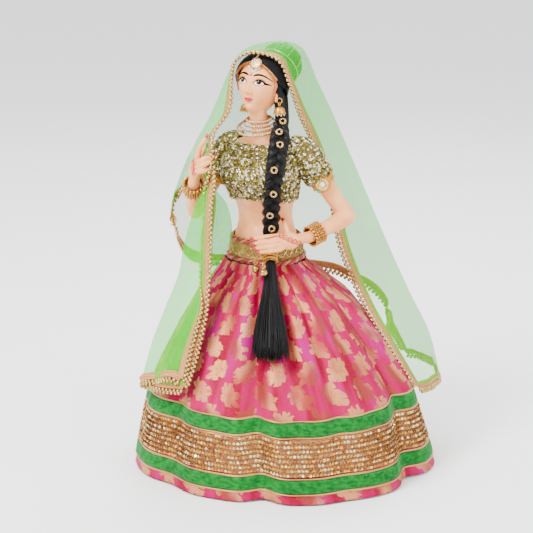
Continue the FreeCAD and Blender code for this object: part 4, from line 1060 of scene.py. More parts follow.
PALM_SIZE = {"left": (7.7, 9.8, 4.4), "right": (6.6, 9.5, 4.8)}
NAIL_OUT = {"left": (0.50, -0.84, 0.25), "right": (-0.25, -0.80, 0.45)}
arms, hands = {}, {}
for side in SHOULDER:
    shoulder, elbow, wrist = (np.array(t[side], float) for t in (SHOULDER, ELBOW, WRIST))
    fore = unit(wrist - elbow)
    belly = elbow + (wrist - elbow) * 0.3
    shapes = [capsule(shoulder, shoulder + (elbow - shoulder) * 0.45, 9.2, 8.6),
              capsule(shoulder + (elbow - shoulder) * 0.4, elbow, 8.7, 7.1),
              capsule(elbow, belly, 7.3, 7.6), capsule(belly, wrist, 7.5, 5.0)]
    arms[side] = remeshed(f"{side}_arm_skin", shapes, 0.8, 10, skin, replaces=[f"{side}_arm"], slot="skin")
    palm = np.array(PALM[side], float)
    shapes = [capsule(wrist - fore * 1.5, palm, 5.0, 4.6), ellipsoid(palm, PALM_AXES[side], PALM_SIZE[side])]
    for k, (root, bend, tip) in enumerate(FINGERS[side]):
        root, bend, tip = (np.array(p, float) for p in (root, bend, tip))
        shapes += [capsule(palm + (root - palm) * 0.45, root, 2.9, 2.5), capsule(root, bend, 2.6, 2.35),
                   capsule(bend, tip, 2.35, 1.6)]
    hands[side] = remeshed(f"{side}_hand_skin", shapes, 0.5, 6, skin, replaces=[f"{side}_hand"], slot="skin")
    nails = []
    for root, bend, tip in FINGERS[side]:
        bend, tip = np.array(bend, float), np.array(tip, float)
        along = unit(tip - bend)
        out = unit(np.array(NAIL_OUT[side]) - along * along.dot(NAIL_OUT[side]))
        axes = np.stack([np.cross(along, out), along, out], axis=1)
        nails.append(ellipsoid(tip + along * 0.9 + out * 0.75, axes, (1.7, 2.8, 0.95), 16, 9))
    piece(f"{side}_nails", merged(*nails), red_paint, slot="red_paint")


class Canvas:
    """Places flat drawings on a surface, as seen from one direction."""

    def __init__(self, tree, centre, right, up):
        self.tree, self.centre = tree, np.asarray(centre, float)
        self.right = unit(right)
        self.out = unit(np.cross(self.right, up))
        self.up = np.cross(self.out, self.right)

    def on(self, spots, lift=0.0):
        """Points on the surface and its directions out, under flat spots."""
        at, out = [], []
        for x, y in np.atleast_2d(spots):
            start = self.centre + self.right * x + self.up * y + self.out * 40
            hit, normal, _, _ = self.tree.ray_cast(Vector(start * MM), Vector(-self.out))
            if hit is None:
                hit, normal, _, _ = self.tree.find_nearest(Vector((start - self.out * 40) * MM))
            at.append(np.array(hit) / MM + np.array(normal) * lift)
            out.append(np.array(normal))
        return np.array(at), unit(out)

    def stroke(self, spots, widths, thick=0.3, step=0.5):
        """A brush stroke through flat spots, as wide as given at each."""
        smooth = evenly(np.column_stack([np.asarray(spots, float), np.asarray(widths, float)]), step)
        at, out = self.on(smooth[:, :2], 0.0)
        return raised(at, out, smooth[:, 2] / 2, thick)

    def spot(self, centre, outline, thick=0.12, rings=7):
        """A filled shape whose edge is given as flat offsets from its centre."""
        outline = np.asarray(outline, float)
        count = len(outline)
        points = []
        for share in np.linspace(0, 1, rings + 1)[1:]:
            at, out = self.on(np.asarray(centre) + outline * share)
            height = thick * math.sqrt(max(0.0, 1 - share ** 4)) - 0.05 * (share == 1)
            points.append(at + out * height)
        top, out = self.on([centre])
        verts = np.concatenate(points[::-1] + [top + out * thick, top - out * 0.35])
        _, faces, _ = grid(np.zeros((rings, count, 3)), True)
        k = np.arange(count)
        inner = (rings - 1) * count
        cap = np.stack([inner + k, inner + (k + 1) % count, np.full(count, rings * count),
                        np.full(count, rings * count)], axis=1)
        back = np.stack([(k + 1) % count, k, np.full(count, rings * count + 1),
                         np.full(count, rings * count + 1)], axis=1)
        return verts, np.concatenate([faces, cap, back]), None


def raised(line, out, half_width, thick, sides=8):
    """A flat closed strip along a line on a surface, rounded across."""
    along = unit(np.gradient(line, axis=0))
    across = unit(np.cross(along, out))
    turn = np.arange(sides) * TURN / sides
    half_width = np.broadcast_to(half_width, len(line))
    thick = np.broadcast_to(thick, len(line))
    points = line[:, None] + across[:, None] * (np.cos(turn) * half_width[:, None])[..., None]
    points = points + out[:, None] * (np.sin(turn) * thick[:, None])[..., None]
    run = np.concatenate([[0], np.cumsum(np.linalg.norm(np.diff(line, axis=0), axis=1))])
    width = 2 * float(np.mean(half_width))
    u = np.concatenate([(np.cos(turn) + 1) / 2 * width, [width]])
    uv = np.stack(np.broadcast_arrays(u[None, :], run[:, None]), axis=2)
    verts, faces, corners = grid(points, True, uv)
    last = len(verts)
    verts = np.concatenate([verts, line[:1], line[-1:]])
    k = np.arange(sides)
    low = np.stack([np.full(sides, last), (k + 1) % sides, k, k], axis=1)
    high = np.stack([np.full(sides, last + 1), last - sides + k, last - sides + (k + 1) % sides,
                     last - sides + (k + 1) % sides], axis=1)
    return verts, np.concatenate([faces, low, high]), np.concatenate([corners, np.zeros((2 * sides, 4, 2))])


def round_edge(radius, petals=0, depth=0.0, count=28, squash=1.0):
    turn = np.arange(count) * TURN / count
    r = radius * (1 + depth * np.cos(petals * turn))
    return np.stack([np.cos(turn) * r, np.sin(turn) * r * squash], axis=1)


def ring_spots(centre, radius, petals, depth, count=30):
    edge = round_edge(radius, petals, depth, count)
    return np.concatenate([edge, edge[:1]]) + centre


# henna drawn on the hands: a vine along the first finger and flowers to the wrist
VIEW_RIGHT, VIEW_UP = (0.906, 0.423, 0), (0.02, -0.1, 1)
back_of_hand = Canvas(surface_of(hands["left"]), PALM["left"], VIEW_RIGHT, VIEW_UP)
henna = [back_of_hand.stroke([(-22, 4.3), (-18, 4.6), (-13, 6.0), (-8, 6.4)], [0.9, 1.2, 1.2, 1.0])]
for k in range(5):
    x, y = -7.2 + 3.9 * k, 6.3 - 1.9 * k
    henna.append(back_of_hand.stroke(ring_spots((x, y), 1.7, 5, 0.22), [0.85] * 31))
    henna.append(back_of_hand.spot((x, y), round_edge(0.6), thick=0.2, rings=3))
    henna.append(back_of_hand.stroke([(x + 1.2, y - 1.7), (x + 1.9, y - 3.0), (x + 3.0, y - 3.2)],
                                     [0.8, 0.8, 0.5]))
for k in range(3):
    henna.append(back_of_hand.spot((-10.5 - 1.6 * k, 1.4 - 3.6 * k), round_edge(0.42), thick=0.2, rings=3))
piece("left_henna", merged(*henna), red_paint, slot="red_paint")
front_of_fist = Canvas(surface_of(hands["right"]), PALM["right"], VIEW_RIGHT, VIEW_UP)
henna = [front_of_fist.stroke([(-1.5, 17), (-2.5, 10), (-1.8, 3), (-2.5, -5)], [0.9, 1.2, 1.2, 0.9])]
for k in range(4):
    x, y = -2.4 + 0.6 * (k % 2), 9.5 - 4.4 * k
    henna.append(front_of_fist.stroke(ring_spots((x, y), 1.6, 5, 0.22), [0.85] * 31))
    henna.append(front_of_fist.spot((x, y), round_edge(0.45), thick=0.2, rings=3))
piece("right_henna", merged(*henna), red_paint, slot="red_paint")

# ---- head ---------------------------------------------------------------------------------------
HEAD = np.array((-3.6, -4.3, 340))
HEAD_YAW, HEAD_PITCH, HEAD_ROLL = -2, 7.8, 4.0


def head_axes():
    yaw, pitch, roll = (math.radians(a) for a in (HEAD_YAW, HEAD_PITCH, HEAD_ROLL))
    ahead = np.array((math.sin(yaw), -math.cos(yaw), 0))
    left = np.array((math.cos(yaw), math.sin(yaw), 0))
    up = np.array((0, 0, 1.0))
    fore = ahead * math.cos(pitch) + up * math.sin(pitch)
    above = up * math.cos(pitch) - ahead * math.sin(pitch)
    return (left * math.cos(roll) - above * math.sin(roll), fore,
            above * math.cos(roll) + left * math.sin(roll))


LEFT, FORE, ABOVE = head_axes()


def on_head(x, y, z):
    """The head's own coordinates (to its left, forwards, up) as points."""
    x, y, z = (np.asarray(c, float)[..., None] for c in (x, y, z))
    return HEAD + x * LEFT + y * FORE + z * ABOVE


def bell_curve(x, width):
    return np.exp(-(x / width) ** 2)


def face_shape(x, y, z):
    """Turns the ellipsoid of the skull into a head with a face."""
    t = np.clip(-z / 25.5, 0, 1)
    front = np.clip(y / 14 + 0.35, 0, 1)
    x = x * (1 - 0.06 * front) * (1 - 0.43 * t ** 0.86 * (0.55 + 0.45 * front))
    y = np.where(y < 0, y * (1 - 0.45 * t), y)
    level = np.sqrt(np.clip(1 - (z / 25.6) ** 2, 0.02, 1))
    fuller = level ** -0.3
    y = np.where((z < 0) & (y > 0), y * np.minimum(fuller, 1.5), y)
    ax = np.abs(x)
    out = 3.2 * bell_curve(z + 21, 4.6) * bell_curve(x, 6.5)
    ramp = np.clip((6.5 - z) / 11.5, 0, 1)
    drop = 1 / (1 + np.exp(np.clip(-(z + 7.2) / 0.42, -40, 40)))
    out += 4.6 * (ramp ** 1.25) * drop * bell_curve(x, 1.25 + 1.05 * ramp)
    out += 1.7 * bell_curve(ax - 2.35, 1.15) * bell_curve(z + 6.1, 1.35)
    out -= 1.5 * bell_curve(ax - 8.6, 5.2) * bell_curve(z - 3.4, 3.6)
    out += 1.1 * bell_curve(ax - 9.6, 3.7) * bell_curve(z - 2.9, 2.0)
    out += 0.45 * bell_curve(ax - 9, 5) * bell_curve(z - 8.2, 1.8)
    out += 1.0 * bell_curve(ax - 10.5, 4.6) * bell_curve(z + 6, 5)
    out -= 0.4 * bell_curve(x, 0.8) * bell_curve(z + 9.3, 1.3)
    out += 1.5 * bell_curve(ax - 1.3, 2.0) * bell_curve(z + 11.35 + 0.05 * ax, 1.0)
    out += 1.9 * bell_curve(x, 2.9) * bell_curve(z + 13.7, 1.25)
    out -= 0.75 * bell_curve(z + 12.45 - 0.02 * x ** 2, 0.36) * bell_curve(x, 4.2)
    out -= 0.8 * bell_curve(z + 16.4, 1.4) * bell_curve(x, 4.5)
    y = y + out * np.clip(y / 8, 0, 1)
    return x, y, z


turn = np.linspace(0, TURN, 280, endpoint=False)[None]
rise = np.radians(np.linspace(-89.5, 89.5, 230))[:, None]
# more rows of points across the face than over the back
turn = turn - 0.45 * np.sin(turn)
# level outlines a little squarer than ellipses, for a broad flat face
square = (np.abs(np.sin(turn)) ** 2.3 + np.abs(np.cos(turn)) ** 2.3) ** (-1 / 2.3)
x, y, z = (19.6 * np.sin(turn) * square * np.cos(rise), 22.4 * np.cos(turn) * square * np.cos(rise),
           25.6 * np.sin(rise) + 0 * turn)
x, y, z = face_shape(x, y, z)
flat_face = np.stack([x, z], axis=-1)
flat_face = np.concatenate([flat_face, flat_face[:, :1]], axis=1)
skull, faces, corners = grid(on_head(x, y, z), True, flat_face)
count = len(skull)
skull = np.concatenate([skull, [on_head(0, 0, -25.6), on_head(0, 0, 25.6)]])
k = np.arange(280)
low = np.stack([np.full(280, count), (k + 1) % 280, k, k], axis=1)
high = np.stack([np.full(280, count + 1), count - 280 + k, count - 280 + (k + 1) % 280,
                 count - 280 + (k + 1) % 280], axis=1)
faces = np.concatenate([faces, low, high])
corners = np.concatenate([corners, np.zeros((560, 4, 2))])
head = piece("head_skin", (skull, faces, corners), skin_face, replaces=["head"], slot="skin")
EAR = {"left": (16.5, -8.5, 328), "right": (-20, -0.5, 327)}
LOBE = {"left": (14.6, -10, 328), "right": (-23, -1.9, 327)}
lobes = []
for side, at in LOBE.items():
    sign = 1 if side == "left" else -1
    axes = np.stack([LEFT, FORE, ABOVE], axis=1)
    centre = np.array(at) + (-0.9 * sign) * LEFT + 3.4 * ABOVE
    lobes.append(ellipsoid(centre, axes, (1.3, 2.2, 3.4), 20, 12))
    lobes.append(ellipsoid(np.array(at) - 0.6 * sign * LEFT + 0.6 * ABOVE, axes, (1.3, 1.9, 2.2), 18, 10))
remeshed("ear_lobes", lobes, 0.35, 4, skin, slot="skin")

# the face is painted: everything below is brushwork on the surface
face = Canvas(surface_of(head), HEAD, LEFT, ABOVE)
eye_white, irises, pupils, glints, liner, brown, lips = [], [], [], [], [], [], []
for s in (-1, 1):
    corner_in, corner_out = np.array((3.0, 2.0)), np.array((13.2, 2.5))
    share = np.linspace(0, 1, 15)
    middle = corner_in + (corner_out - corner_in) * share[:, None]
    above = middle + np.stack([0 * share, 3.0 * np.sin(np.pi * share ** 0.85)], axis=1)
    below = middle - np.stack([0 * share, 1.9 * np.sin(np.pi * share ** 1.1)], axis=1)
    almond = np.concatenate([below, above[::-1][1:-1]]) * (s, 1)
    if s < 0:
        almond = almond[::-1]
    centre = np.array((8.2 * s, 2.7))
    eye_white.append(face.spot(centre, almond - centre, 0.10))
    iris = np.array((8.0 * s, 3.5))
    irises.append(face.spot(iris, round_edge(2.5), 0.17))
    pupils.append(face.spot(iris, round_edge(1.25), 0.23, 4))
    # a painted highlight in each eye, in white paint
    glints.append(face.spot(iris + (-0.7, 0.75), round_edge(0.38), 0.30, 3))
    wing = np.concatenate([above, [(14.8, 2.2), (16.6, 1.8)]]) * (s, 1)
    liner.append(face.stroke(wing, np.concatenate([np.linspace(0.9, 2.0, 15), (1.3, 0.4)]), 0.34))
    liner.append(face.stroke(below * (s, 1), np.linspace(0.35, 0.7, 15), 0.2))
    for k in range(8):
        root = above[4 + k]
        tip = root + (0.1 + 0.17 * k, 1.7 - 0.03 * k)
        liner.append(face.stroke(np.array([root, (root + tip) / 2 + (0.15, -0.05), tip]) * (s, 1),
                                 (0.5, 0.4, 0.15), 0.24, 0.3))
    crease = above[2:] + (0.1, 1.25)
    brown.append(face.stroke(crease * (s, 1), [0.12] + [0.26] * 11 + [0.12], 0.10))
    brow = np.array([(2.4, 8.4), (4.6, 9.3), (7.6, 9.8), (10.8, 9.2), (13.8, 7.6), (16.6, 5.2)]) * (s, 1)
    liner.append(face.stroke(brow, (1.1, 1.9, 2.0, 1.7, 1.2, 0.6), 0.2))
    brown.append(face.spot((2.15 * s, -7.35), round_edge(0.42, squash=0.55), 0.06, 3))
x = np.linspace(-4.5, 4.5, 25)
bow = -10.55 - 0.05 * x ** 2 - 0.55 * bell_curve(x, 0.75) + 0.30 * bell_curve(np.abs(x) - 1.4, 0.8)
seam = -12.45 + 0.02 * x ** 2 + 0.1 * bell_curve(x, 0.9)
under = -14.95 + 0.118 * x ** 2
upper_lip = np.concatenate([np.stack([x, seam], axis=1),
                            np.stack([x, np.maximum(bow, seam)], axis=1)[::-1][1:-1]])
lower_lip = np.concatenate([np.stack([x, np.minimum(under, seam)], axis=1),
                            np.stack([x, seam], axis=1)[::-1][1:-1]])
lips.append(face.spot((0, -11.7), upper_lip - (0, -11.7), 0.10, 6))
lips.append(face.spot((0, -13.6), lower_lip - (0, -13.6), 0.12, 6))
brown.append(face.stroke(np.stack([x * 1.03, seam], axis=1)[::4],
                         (0.12, 0.2, 0.26, 0.3, 0.26, 0.2, 0.12), 0.13))
piece("eye_whites", merged(*eye_white), white_paint, slot="skin")
piece("irises", merged(*irises), iris_paint, slot="skin")
# the pupils piece also holds the painted highlights of the eyes
piece("pupils", [merged(*pupils), merged(*glints)], [black_paint, white_paint], slot="skin")
piece("eye_lines", merged(*liner), black_paint, slot="skin")
piece("eye_folds", merged(*brown), brown_paint, slot="skin")
piece("lips", merged(*lips), lip_paint, slot="skin")
forehead = [face.spot((0, 9.2), round_edge(1.45, squash=1.25), 0.45, 6)]
piece("bindi_drop", [merged(*forehead), face.spot((0, 7.2), round_edge(0.42), 0.25, 3)],
      [red_paint, white_paint],
      replaces=["bindi"], slot="red_paint")
stud, stud_out = face.on([(2.9, -6.4)])
piece("nose_stud", [scatter(bead(16, 9), stud + stud_out * 0.5, size=0.95),
                    tube(stud + stud_out * 0.2 + np.array([np.cos(a) * LEFT + np.sin(a) * ABOVE
                                                           for a in np.linspace(0, TURN, 17)[:-1]]) * 1.1,
                          0.28, 7, closed=True)],
      [pale_gold, gold], replaces=["nose_pin"], slot="gold_jewellery")

# hair combed from a middle parting down to the ears and the nape
SKULL_SIZE = np.array((20.6, 23.0, 25.5))


def hair_points(side_angle, crown_angle, lift):
    """Points round the head: side_angle from the parting to an ear, crown_angle from the face over
    the top to the nape, both in degrees."""
    a, b = np.radians(side_angle), np.radians(crown_angle)
    size = SKULL_SIZE[:, None, None] + np.asarray(lift)[None]
    return on_head(np.sin(a) * size[0], np.cos(a) * np.cos(b) * size[1], np.cos(a) * np.sin(b) * size[2])


def hairline_angle(side):
    """Where the hair begins: high over the forehead, and lower on the temples."""
    return 47 - 26 * np.clip(np.abs(side) / 90, 0, 1) ** 1.6


side_angle = np.linspace(-89, 89, 181)[:, None] * np.ones((1, 260))
share = np.linspace(0, 1, 260)[None] * np.ones((181, 1))
# the hairline arches over the forehead and comes down in front of the ears
first = hairline_angle(side_angle)
crown_angle = first + (212 - first) * share
strands = (0.28 * np.sin(crown_angle * 2.9 + 1.5 * np.sin(side_angle * 0.06))
           + 0.22 * np.sin(crown_angle * 7.3))
strands = strands + 0.12 * np.sin(crown_angle * 13.1 + side_angle * 0.05)
lift = 0.4 + 3.0 * (1 - np.exp(-share * 22)) + strands * np.clip(share * 14, 0, 1)
lift = lift - 1.5 * np.exp(-(side_angle / 2.2) ** 2)
cap = hair_points(side_angle, crown_angle, lift)
u = (crown_angle - 40) * 0.42
v = np.abs(side_angle) * 0.42
piece("hair_combed", grid(cap[::-1], False, np.stack([u, v], axis=2)[::-1]), hair, replaces=["hair_cap"],
      slot="hair", thick=0.5)

# the jewelled string along the hairline
HAIRLINE = np.linspace(-62, 62, 121)


def hairline(offset, lift):
    at = hairline_angle(HAIRLINE) + offset
    return hair_points(HAIRLINE[:, None], at[:, None], np.full((121, 1), lift))[:, 0]


head_surface = surface_of(head)


def cheek_line(side, back, clear):
    """The string goes on down the edge of the cheek to the ear."""
    spots = [(18.2, 9.1), (19.0, 8.4), (18.9, 7.8), (18.3, 7.2), (17.6, 6.8)]
    line = [on_head(side * x, y - back, z) for (x, y), z in zip(spots, (6.5, 3.0, -0.5, -3.5, -6.5))]
    return pushed_out(evenly(line, 0.4), head_surface, clear)


string = [respaced(np.concatenate([cheek_line(-1, back, clear)[::-1], hairline(offset, lift),
                                   cheek_line(1, back, clear)]), step)
          for offset, lift, step, back, clear in ((-1.4, 1.2, 0.8, -0.6, 0.4), (0.6, 2.2, 1.35, 0.3, 0.8),
                                                  (1.6, 2.6, 1.35, 0.8, 1.1))]
piece("forehead_string", [scatter(small_bead, string[0], size=0.55), scatter(small_bead, string[1], size=0.7),
                          scatter(small_bead, string[2], size=0.3)],
      [orange_glass, gold, pale_gold], replaces=["matha_patti"], slot="gold_jewellery")
gem = turned([(0, -0.35), (1.0, -0.1), (0.82, 0.35), (0.45, 0.55), (0, 0.55)], 8)


def jewel(centre, out, up, radius, petals, middle, leaf, edge):
    """A round setting: a middle stone, a ring of stones and a beaded edge."""
    axes = axes_from(np.asarray(out)[None], up)[0]
    plate = turned([(0, -0.5), (radius * 0.8, -0.45), (radius * 0.98, 0), (radius * 0.8, 0.35), (0, 0.4)], 32)
    turn = np.arange(petals) * TURN / petals
    leaves = np.stack([np.cos(turn), np.sin(turn), 0 * turn], axis=1) * radius * 0.62 + (0, 0, 0.45)
    count = int(TURN * radius / 0.95)
    turn = np.arange(count) * TURN / count
    rim = np.stack([np.cos(turn), np.sin(turn), 0 * turn], axis=1) * radius * 0.98
    wide = radius * 0.62 * math.sin(math.pi / petals) * 0.95
    made = [merged(plate, scatter(small_bead, rim, size=0.45)),
            scatter(gem, [(0, 0, 0.6)], size=radius * 0.32),
            scatter(gem, leaves, size=wide)]
    return [(p @ axes.T + np.asarray(centre), f, None) for p, f, _ in made], [edge, middle, leaf]


tikka_at = on_head(1.8, 17.4, 19.2)
shapes, metals = jewel(tikka_at + FORE * 1.0, FORE * 0.9 + ABOVE * 0.45, ABOVE, 5.4, 9,
                       crystal, crystal, gold)
parting = hair_points(np.zeros((1, 40)), np.linspace(50, 88, 40)[None], np.full((1, 40), 3.4))[0]
# small stones in a V below the pendant
point = np.array([on_head(x + 1.2, 20.2 - 0.25 * abs(x), 12.0 + 0.85 * abs(x))
                  for x in (-4.6, -3.1, -1.6, 0, 1.6, 3.1, 4.6)])
shapes += [scatter(small_bead, respaced(parting, 2.3), size=0.9),
           scatter(gem, point, axes_from(np.array([FORE * 0.95 + ABOVE * 0.3] * 7)), 1.15)]
piece("tikka_pendant", shapes, metals + [crystal, pearl], replaces=["maang_tikka"], slot="crystal")

# bun, wrapped in green satin, with gold cords over it
BUN = np.array((2.5, 24.0, 355.4))


def bun_points(turn, rise, lift):
    """Points of the bun about an axis that points back and up."""
    axis = unit(np.array((0.22, 0.80, 0.56)))
    across = unit(np.cross(axis, (0, 0, 1.0)))
    other = np.cross(axis, across)
    out = (np.cos(rise) * np.cos(turn))[..., None] * across + (np.cos(rise) * np.sin(turn))[..., None] * other
    out = out + np.sin(rise)[..., None] * axis
    size = np.array((19.2, 17.0, 18.9))
    return BUN + out * (size + np.asarray(lift)[..., None])


turn = np.linspace(0, TURN, 240, endpoint=False)[None] * np.ones((90, 1))
rise = np.radians(np.linspace(-60, 89.4, 90))[:, None] * np.ones((1, 240))
GATHERS = 22
gathered = 0.35 * np.cos(turn * GATHERS) * np.cos(rise) + 0.25 * np.sin(turn * 13 + rise * 3) * np.cos(rise)
bun = bun_points(turn, rise, gathered)
verts, faces, _ = grid(bun, True)
verts = np.concatenate([verts, [bun[0].mean(axis=0)], [bun[-1].mean(axis=0)]])
k = np.arange(240)
faces = np.concatenate([faces, np.stack([np.full(240, 21600), (k + 1) % 240, k, k], axis=1),
                        np.stack([np.full(240, 21601), 21360 + k, 21360 + (k + 1) % 240,
                                  21360 + (k + 1) % 240], axis=1)])
bun_cover = piece("bun_satin", (verts, faces, None), satin, replaces=["bun_cover"], slot="green_satin")
cords = []
for k in range(9):
    arc = np.radians(np.linspace(-11, 84, 60))
    line = bun_points(np.full(60, k * TURN / 9), arc, np.full(60, 0.45))
    cords.append(tube(line, 0.2, 6))
    cords.append(scatter(small_bead, respaced(line, 1.25), size=0.5))
level_turn = np.linspace(0, TURN, 121)[:-1]
for rise, thick in ((-0.17, 0.7), (1.42, 0.6)):
    cords.append(tube(bun_points(level_turn, np.full(120, rise), np.full(120, 0.7)), thick, 8, closed=True))
piece("bun_gold_cords", merged(*cords), pale_gold, replaces=["bun_cord"], slot="gold_braid")

# ---- earrings, necklace, armlets and bangles ----------------------------------------------------
DROP_TALL, DROP_WIDE, DROP_WALL = 6.4, 5.2, 0.8
for side, at in EAR.items():
    base = np.array(at) - (0, 0, DROP_TALL + 4.9)
    turn = np.arange(16) * TURN / 16
    rim = np.stack([np.cos(turn), np.sin(turn), 0 * turn], axis=1)
    dome = [(0, 0.0)] + [(DROP_WIDE * math.cos(a) ** 0.8 * (1 - 0.035 * (k % 2)), DROP_TALL * math.sin(a))
                         for k, a in enumerate(np.linspace(0, 1.45, 15))] + [(0, DROP_TALL)]
    inner = [(0, 2.6), (2.4, 2.4), (DROP_WIDE - DROP_WALL - 0.4, 0.4), (DROP_WIDE - DROP_WALL, 0)]
    shell = turned(inner + dome[1:-1] + [(0, DROP_TALL)], 40)
    beads = [scatter(small_bead, base + rim * DROP_WIDE * 1.0 + (0, 0, 0.1), size=0.62),
             scatter(small_bead, base + rim * (DROP_WIDE * 0.8) + (0, 0, DROP_TALL * 0.56), size=0.5),
             scatter(small_bead, base + (0, 0, DROP_TALL + 0.6), size=1.0)]
    hanging = scatter(small_bead, base + rim[::2] * (DROP_WIDE * 0.86) - (0, 0, 1.1), size=0.72)
    shell = (shell[0] + base, shell[1], None)
    eye = np.array(at) - (0, 0, 3.0)
    loop = np.stack([0 * level_turn, np.cos(level_turn), np.sin(level_turn)], axis=1)[::5] * 1.7
    piece(f"jhumka_{side}_drop", [merged(shell, *beads),
                                  merged(hanging, scatter(small_bead, base - (0, 0, 0.6), size=1.2)),
                                  tube(eye + loop, 0.42, 8, closed=True)],
          [gold, pearl, gold], body=f"drop_{side}", replaces=[f"jhumka_{side}"], slot="gold_jewellery")

neck_rows = [[], []]
for k in range(4):
    radius = 11.0 + 2.6 * k
    centre, tilt = np.array((-3.8, -7.2 - 0.6 * k, 310.5 - 2.2 * k)), math.radians(8 + 2.7 * k)
    turn = np.linspace(0, TURN, 241)
    line = centre + np.stack([np.cos(turn) * radius, np.sin(turn) * radius * math.cos(tilt),
                              np.sin(turn) * radius * math.sin(tilt)], axis=1)
    stones = pushed_out(respaced(line, 2.2)[:-1], torso_surface, 0.9)
    outs = []
    for p in stones:
        at, normal, _, _ = torso_surface.find_nearest(Vector(p * MM))
        outs.append(np.array(normal))
    outs = np.array(outs)
    neck_rows[0].append(scatter(gem, stones + outs * 0.3, axes_from(outs), 0.82))
    chain = pushed_out(respaced(line, 0.78)[:-1], torso_surface, 0.5)
    below = chain - np.array((0, 0, 1.15))
    neck_rows[1].append(scatter(bead(6, 3), pushed_out(below, torso_surface, 0.4), size=0.5))
    neck_rows[1].append(scatter(turned([(0, -0.5), (1.15, -0.35), (1.15, 0.1), (0, 0.12)], 10),
                                stones, axes_from(outs), 1.0))
piece("necklace_stones", [merged(*neck_rows[0]), merged(*neck_rows[1])], [crystal, gold],
      replaces=["necklace"], slot="white_stones")


def ring_round(centre, run, radius, count):
    """Points round an axis, with outward directions."""
    axes = axes_from(np.asarray(run)[None])[0]
    turn = np.arange(count) * TURN / count
    out = np.stack([np.cos(turn), np.sin(turn), 0 * turn], axis=1) @ axes.T
    return np.asarray(centre) + out * radius, out


BANGLE_WIDE = 12
for side in SHOULDER:
    shoulder, elbow, wrist = (np.array(t[side], float) for t in (SHOULDER, ELBOW, WRIST))
    upper, fore = unit(elbow - shoulder), unit(wrist - elbow)
    at = shoulder + upper * 27.5
    pts = np.array([(9.8, -2.4), (10.9, -2.1), (11.1, 0), (10.9, 2.1), (9.8, 2.4)])
    turn = np.linspace(0, TURN, 72, endpoint=False)
    closed = np.concatenate([pts, pts[:1]])
    hoop = np.stack([closed[:, None, 0] * np.cos(turn), closed[:, None, 0] * np.sin(turn),
                     closed[:, None, 1] + 0 * turn], axis=2)
    axes = axes_from(upper[None])[0]
    verts, faces, _ = grid(hoop, True)
    faces = np.where(faces >= 5 * 72, faces - 5 * 72, faces)
    hoop = (verts[:5 * 72] @ axes.T + at, faces, None)
    edges = [scatter(small_bead, ring_round(at + upper * k, upper, 10.9, 52)[0], size=0.68)
             for k in (-2.3, 2.3)]
    front = np.array((0.35, -0.93, 0)) if side == "left" else np.array((-0.45, -0.85, 0))
    front = unit(front - upper * front.dot(upper))
    shapes, metals = jewel(at + front * 12.2, front, upper, 7.4, 14, pearl, pale_gold, gold)
    across_front = unit(np.cross(upper, front))
    shapes.append(scatter(bead(12, 7), at + front * 12.8 + across_front * 5.8 + upper * 3.4, size=1.7))
    piece(f"armlet_{side}_jewel", [merged(hoop, *edges)] + shapes, [gold] + metals + [green_glass],
          replaces=[f"armlet_{side}"], slot="gold_jewellery")
    # the bangle: rings of small beads on a band, with larger beads at its rims
    start = wrist - fore * (BANGLE_WIDE + 1.5)
    pts = np.array([(7.4, 0.2), (8.3, 0.2), (8.3, 11.8), (7.4, 11.8)])
    closed = np.concatenate([pts, pts[:1]])
    band = np.stack([closed[:, None, 0] * np.cos(turn), closed[:, None, 0] * np.sin(turn),
                     closed[:, None, 1] + 0 * turn], axis=2)
    axes = axes_from(fore[None])[0]
    verts, faces, _ = grid(band, True)
    faces = np.where(faces >= 4 * 72, faces - 4 * 72, faces)
    shapes = [[], [(verts[:4 * 72] @ axes.T + start, faces, None)], []]
    for k, (share, size, radius, tone) in enumerate([
            (0.07, 1.35, 8.9, 0), (0.21, 0.75, 8.9, 2), (0.32, 0.9, 9.0, 0), (0.42, 0.75, 8.9, 1),
            (0.5, 0.9, 9.0, 0), (0.58, 0.75, 8.9, 1), (0.68, 0.9, 9.0, 0),
            (0.79, 0.75, 8.9, 2), (0.93, 1.35, 8.9, 0)]):
        count = int(TURN * radius / (size * 2.35))
        spots, _ = ring_round(start + fore * BANGLE_WIDE * share, fore, radius, count)
        shapes[tone].append(scatter(bead(8, 5), spots, size=size))
    piece(f"bangle_{side}_rows", [merged(*s) for s in shapes], [gold, bronze, orange_glass],
          body=f"bangle_{side}",
          replaces=[f"bangle_{side}", f"bangle_beads_{side}"], slot="gold_jewellery")

# ---- braid, flowers, tie, tassel ----------------------------------------------------------------
BRAID = [(17, -6, 306), (24, -27, 290), (27, -40, 272), (22, -36, 246), (18, -29, 226),
         (17.5, -29.5, 212), (19.5, -34, 201)]
TIE, TASSEL_END = np.array((21, -36.5, 194)), np.array((51, -101, 121))
BRAID_STEP, PLAIT_LENGTH = 0.7, 27.0
centre = evenly(BRAID, BRAID_STEP)
along = unit(np.gradient(centre, axis=0))
front = unit(np.array((0.40, -0.90, 0.1)) - along * (along @ np.array((0.40, -0.90, 0.1)))[:, None])
across = np.cross(front, along)
phase = np.arange(len(centre)) * BRAID_STEP * TURN / PLAIT_LENGTH
taper = np.interp(np.linspace(0, 1, len(centre)), [0, 0.12, 0.8, 1], [0.8, 1.0, 0.95, 0.55])
locks = []
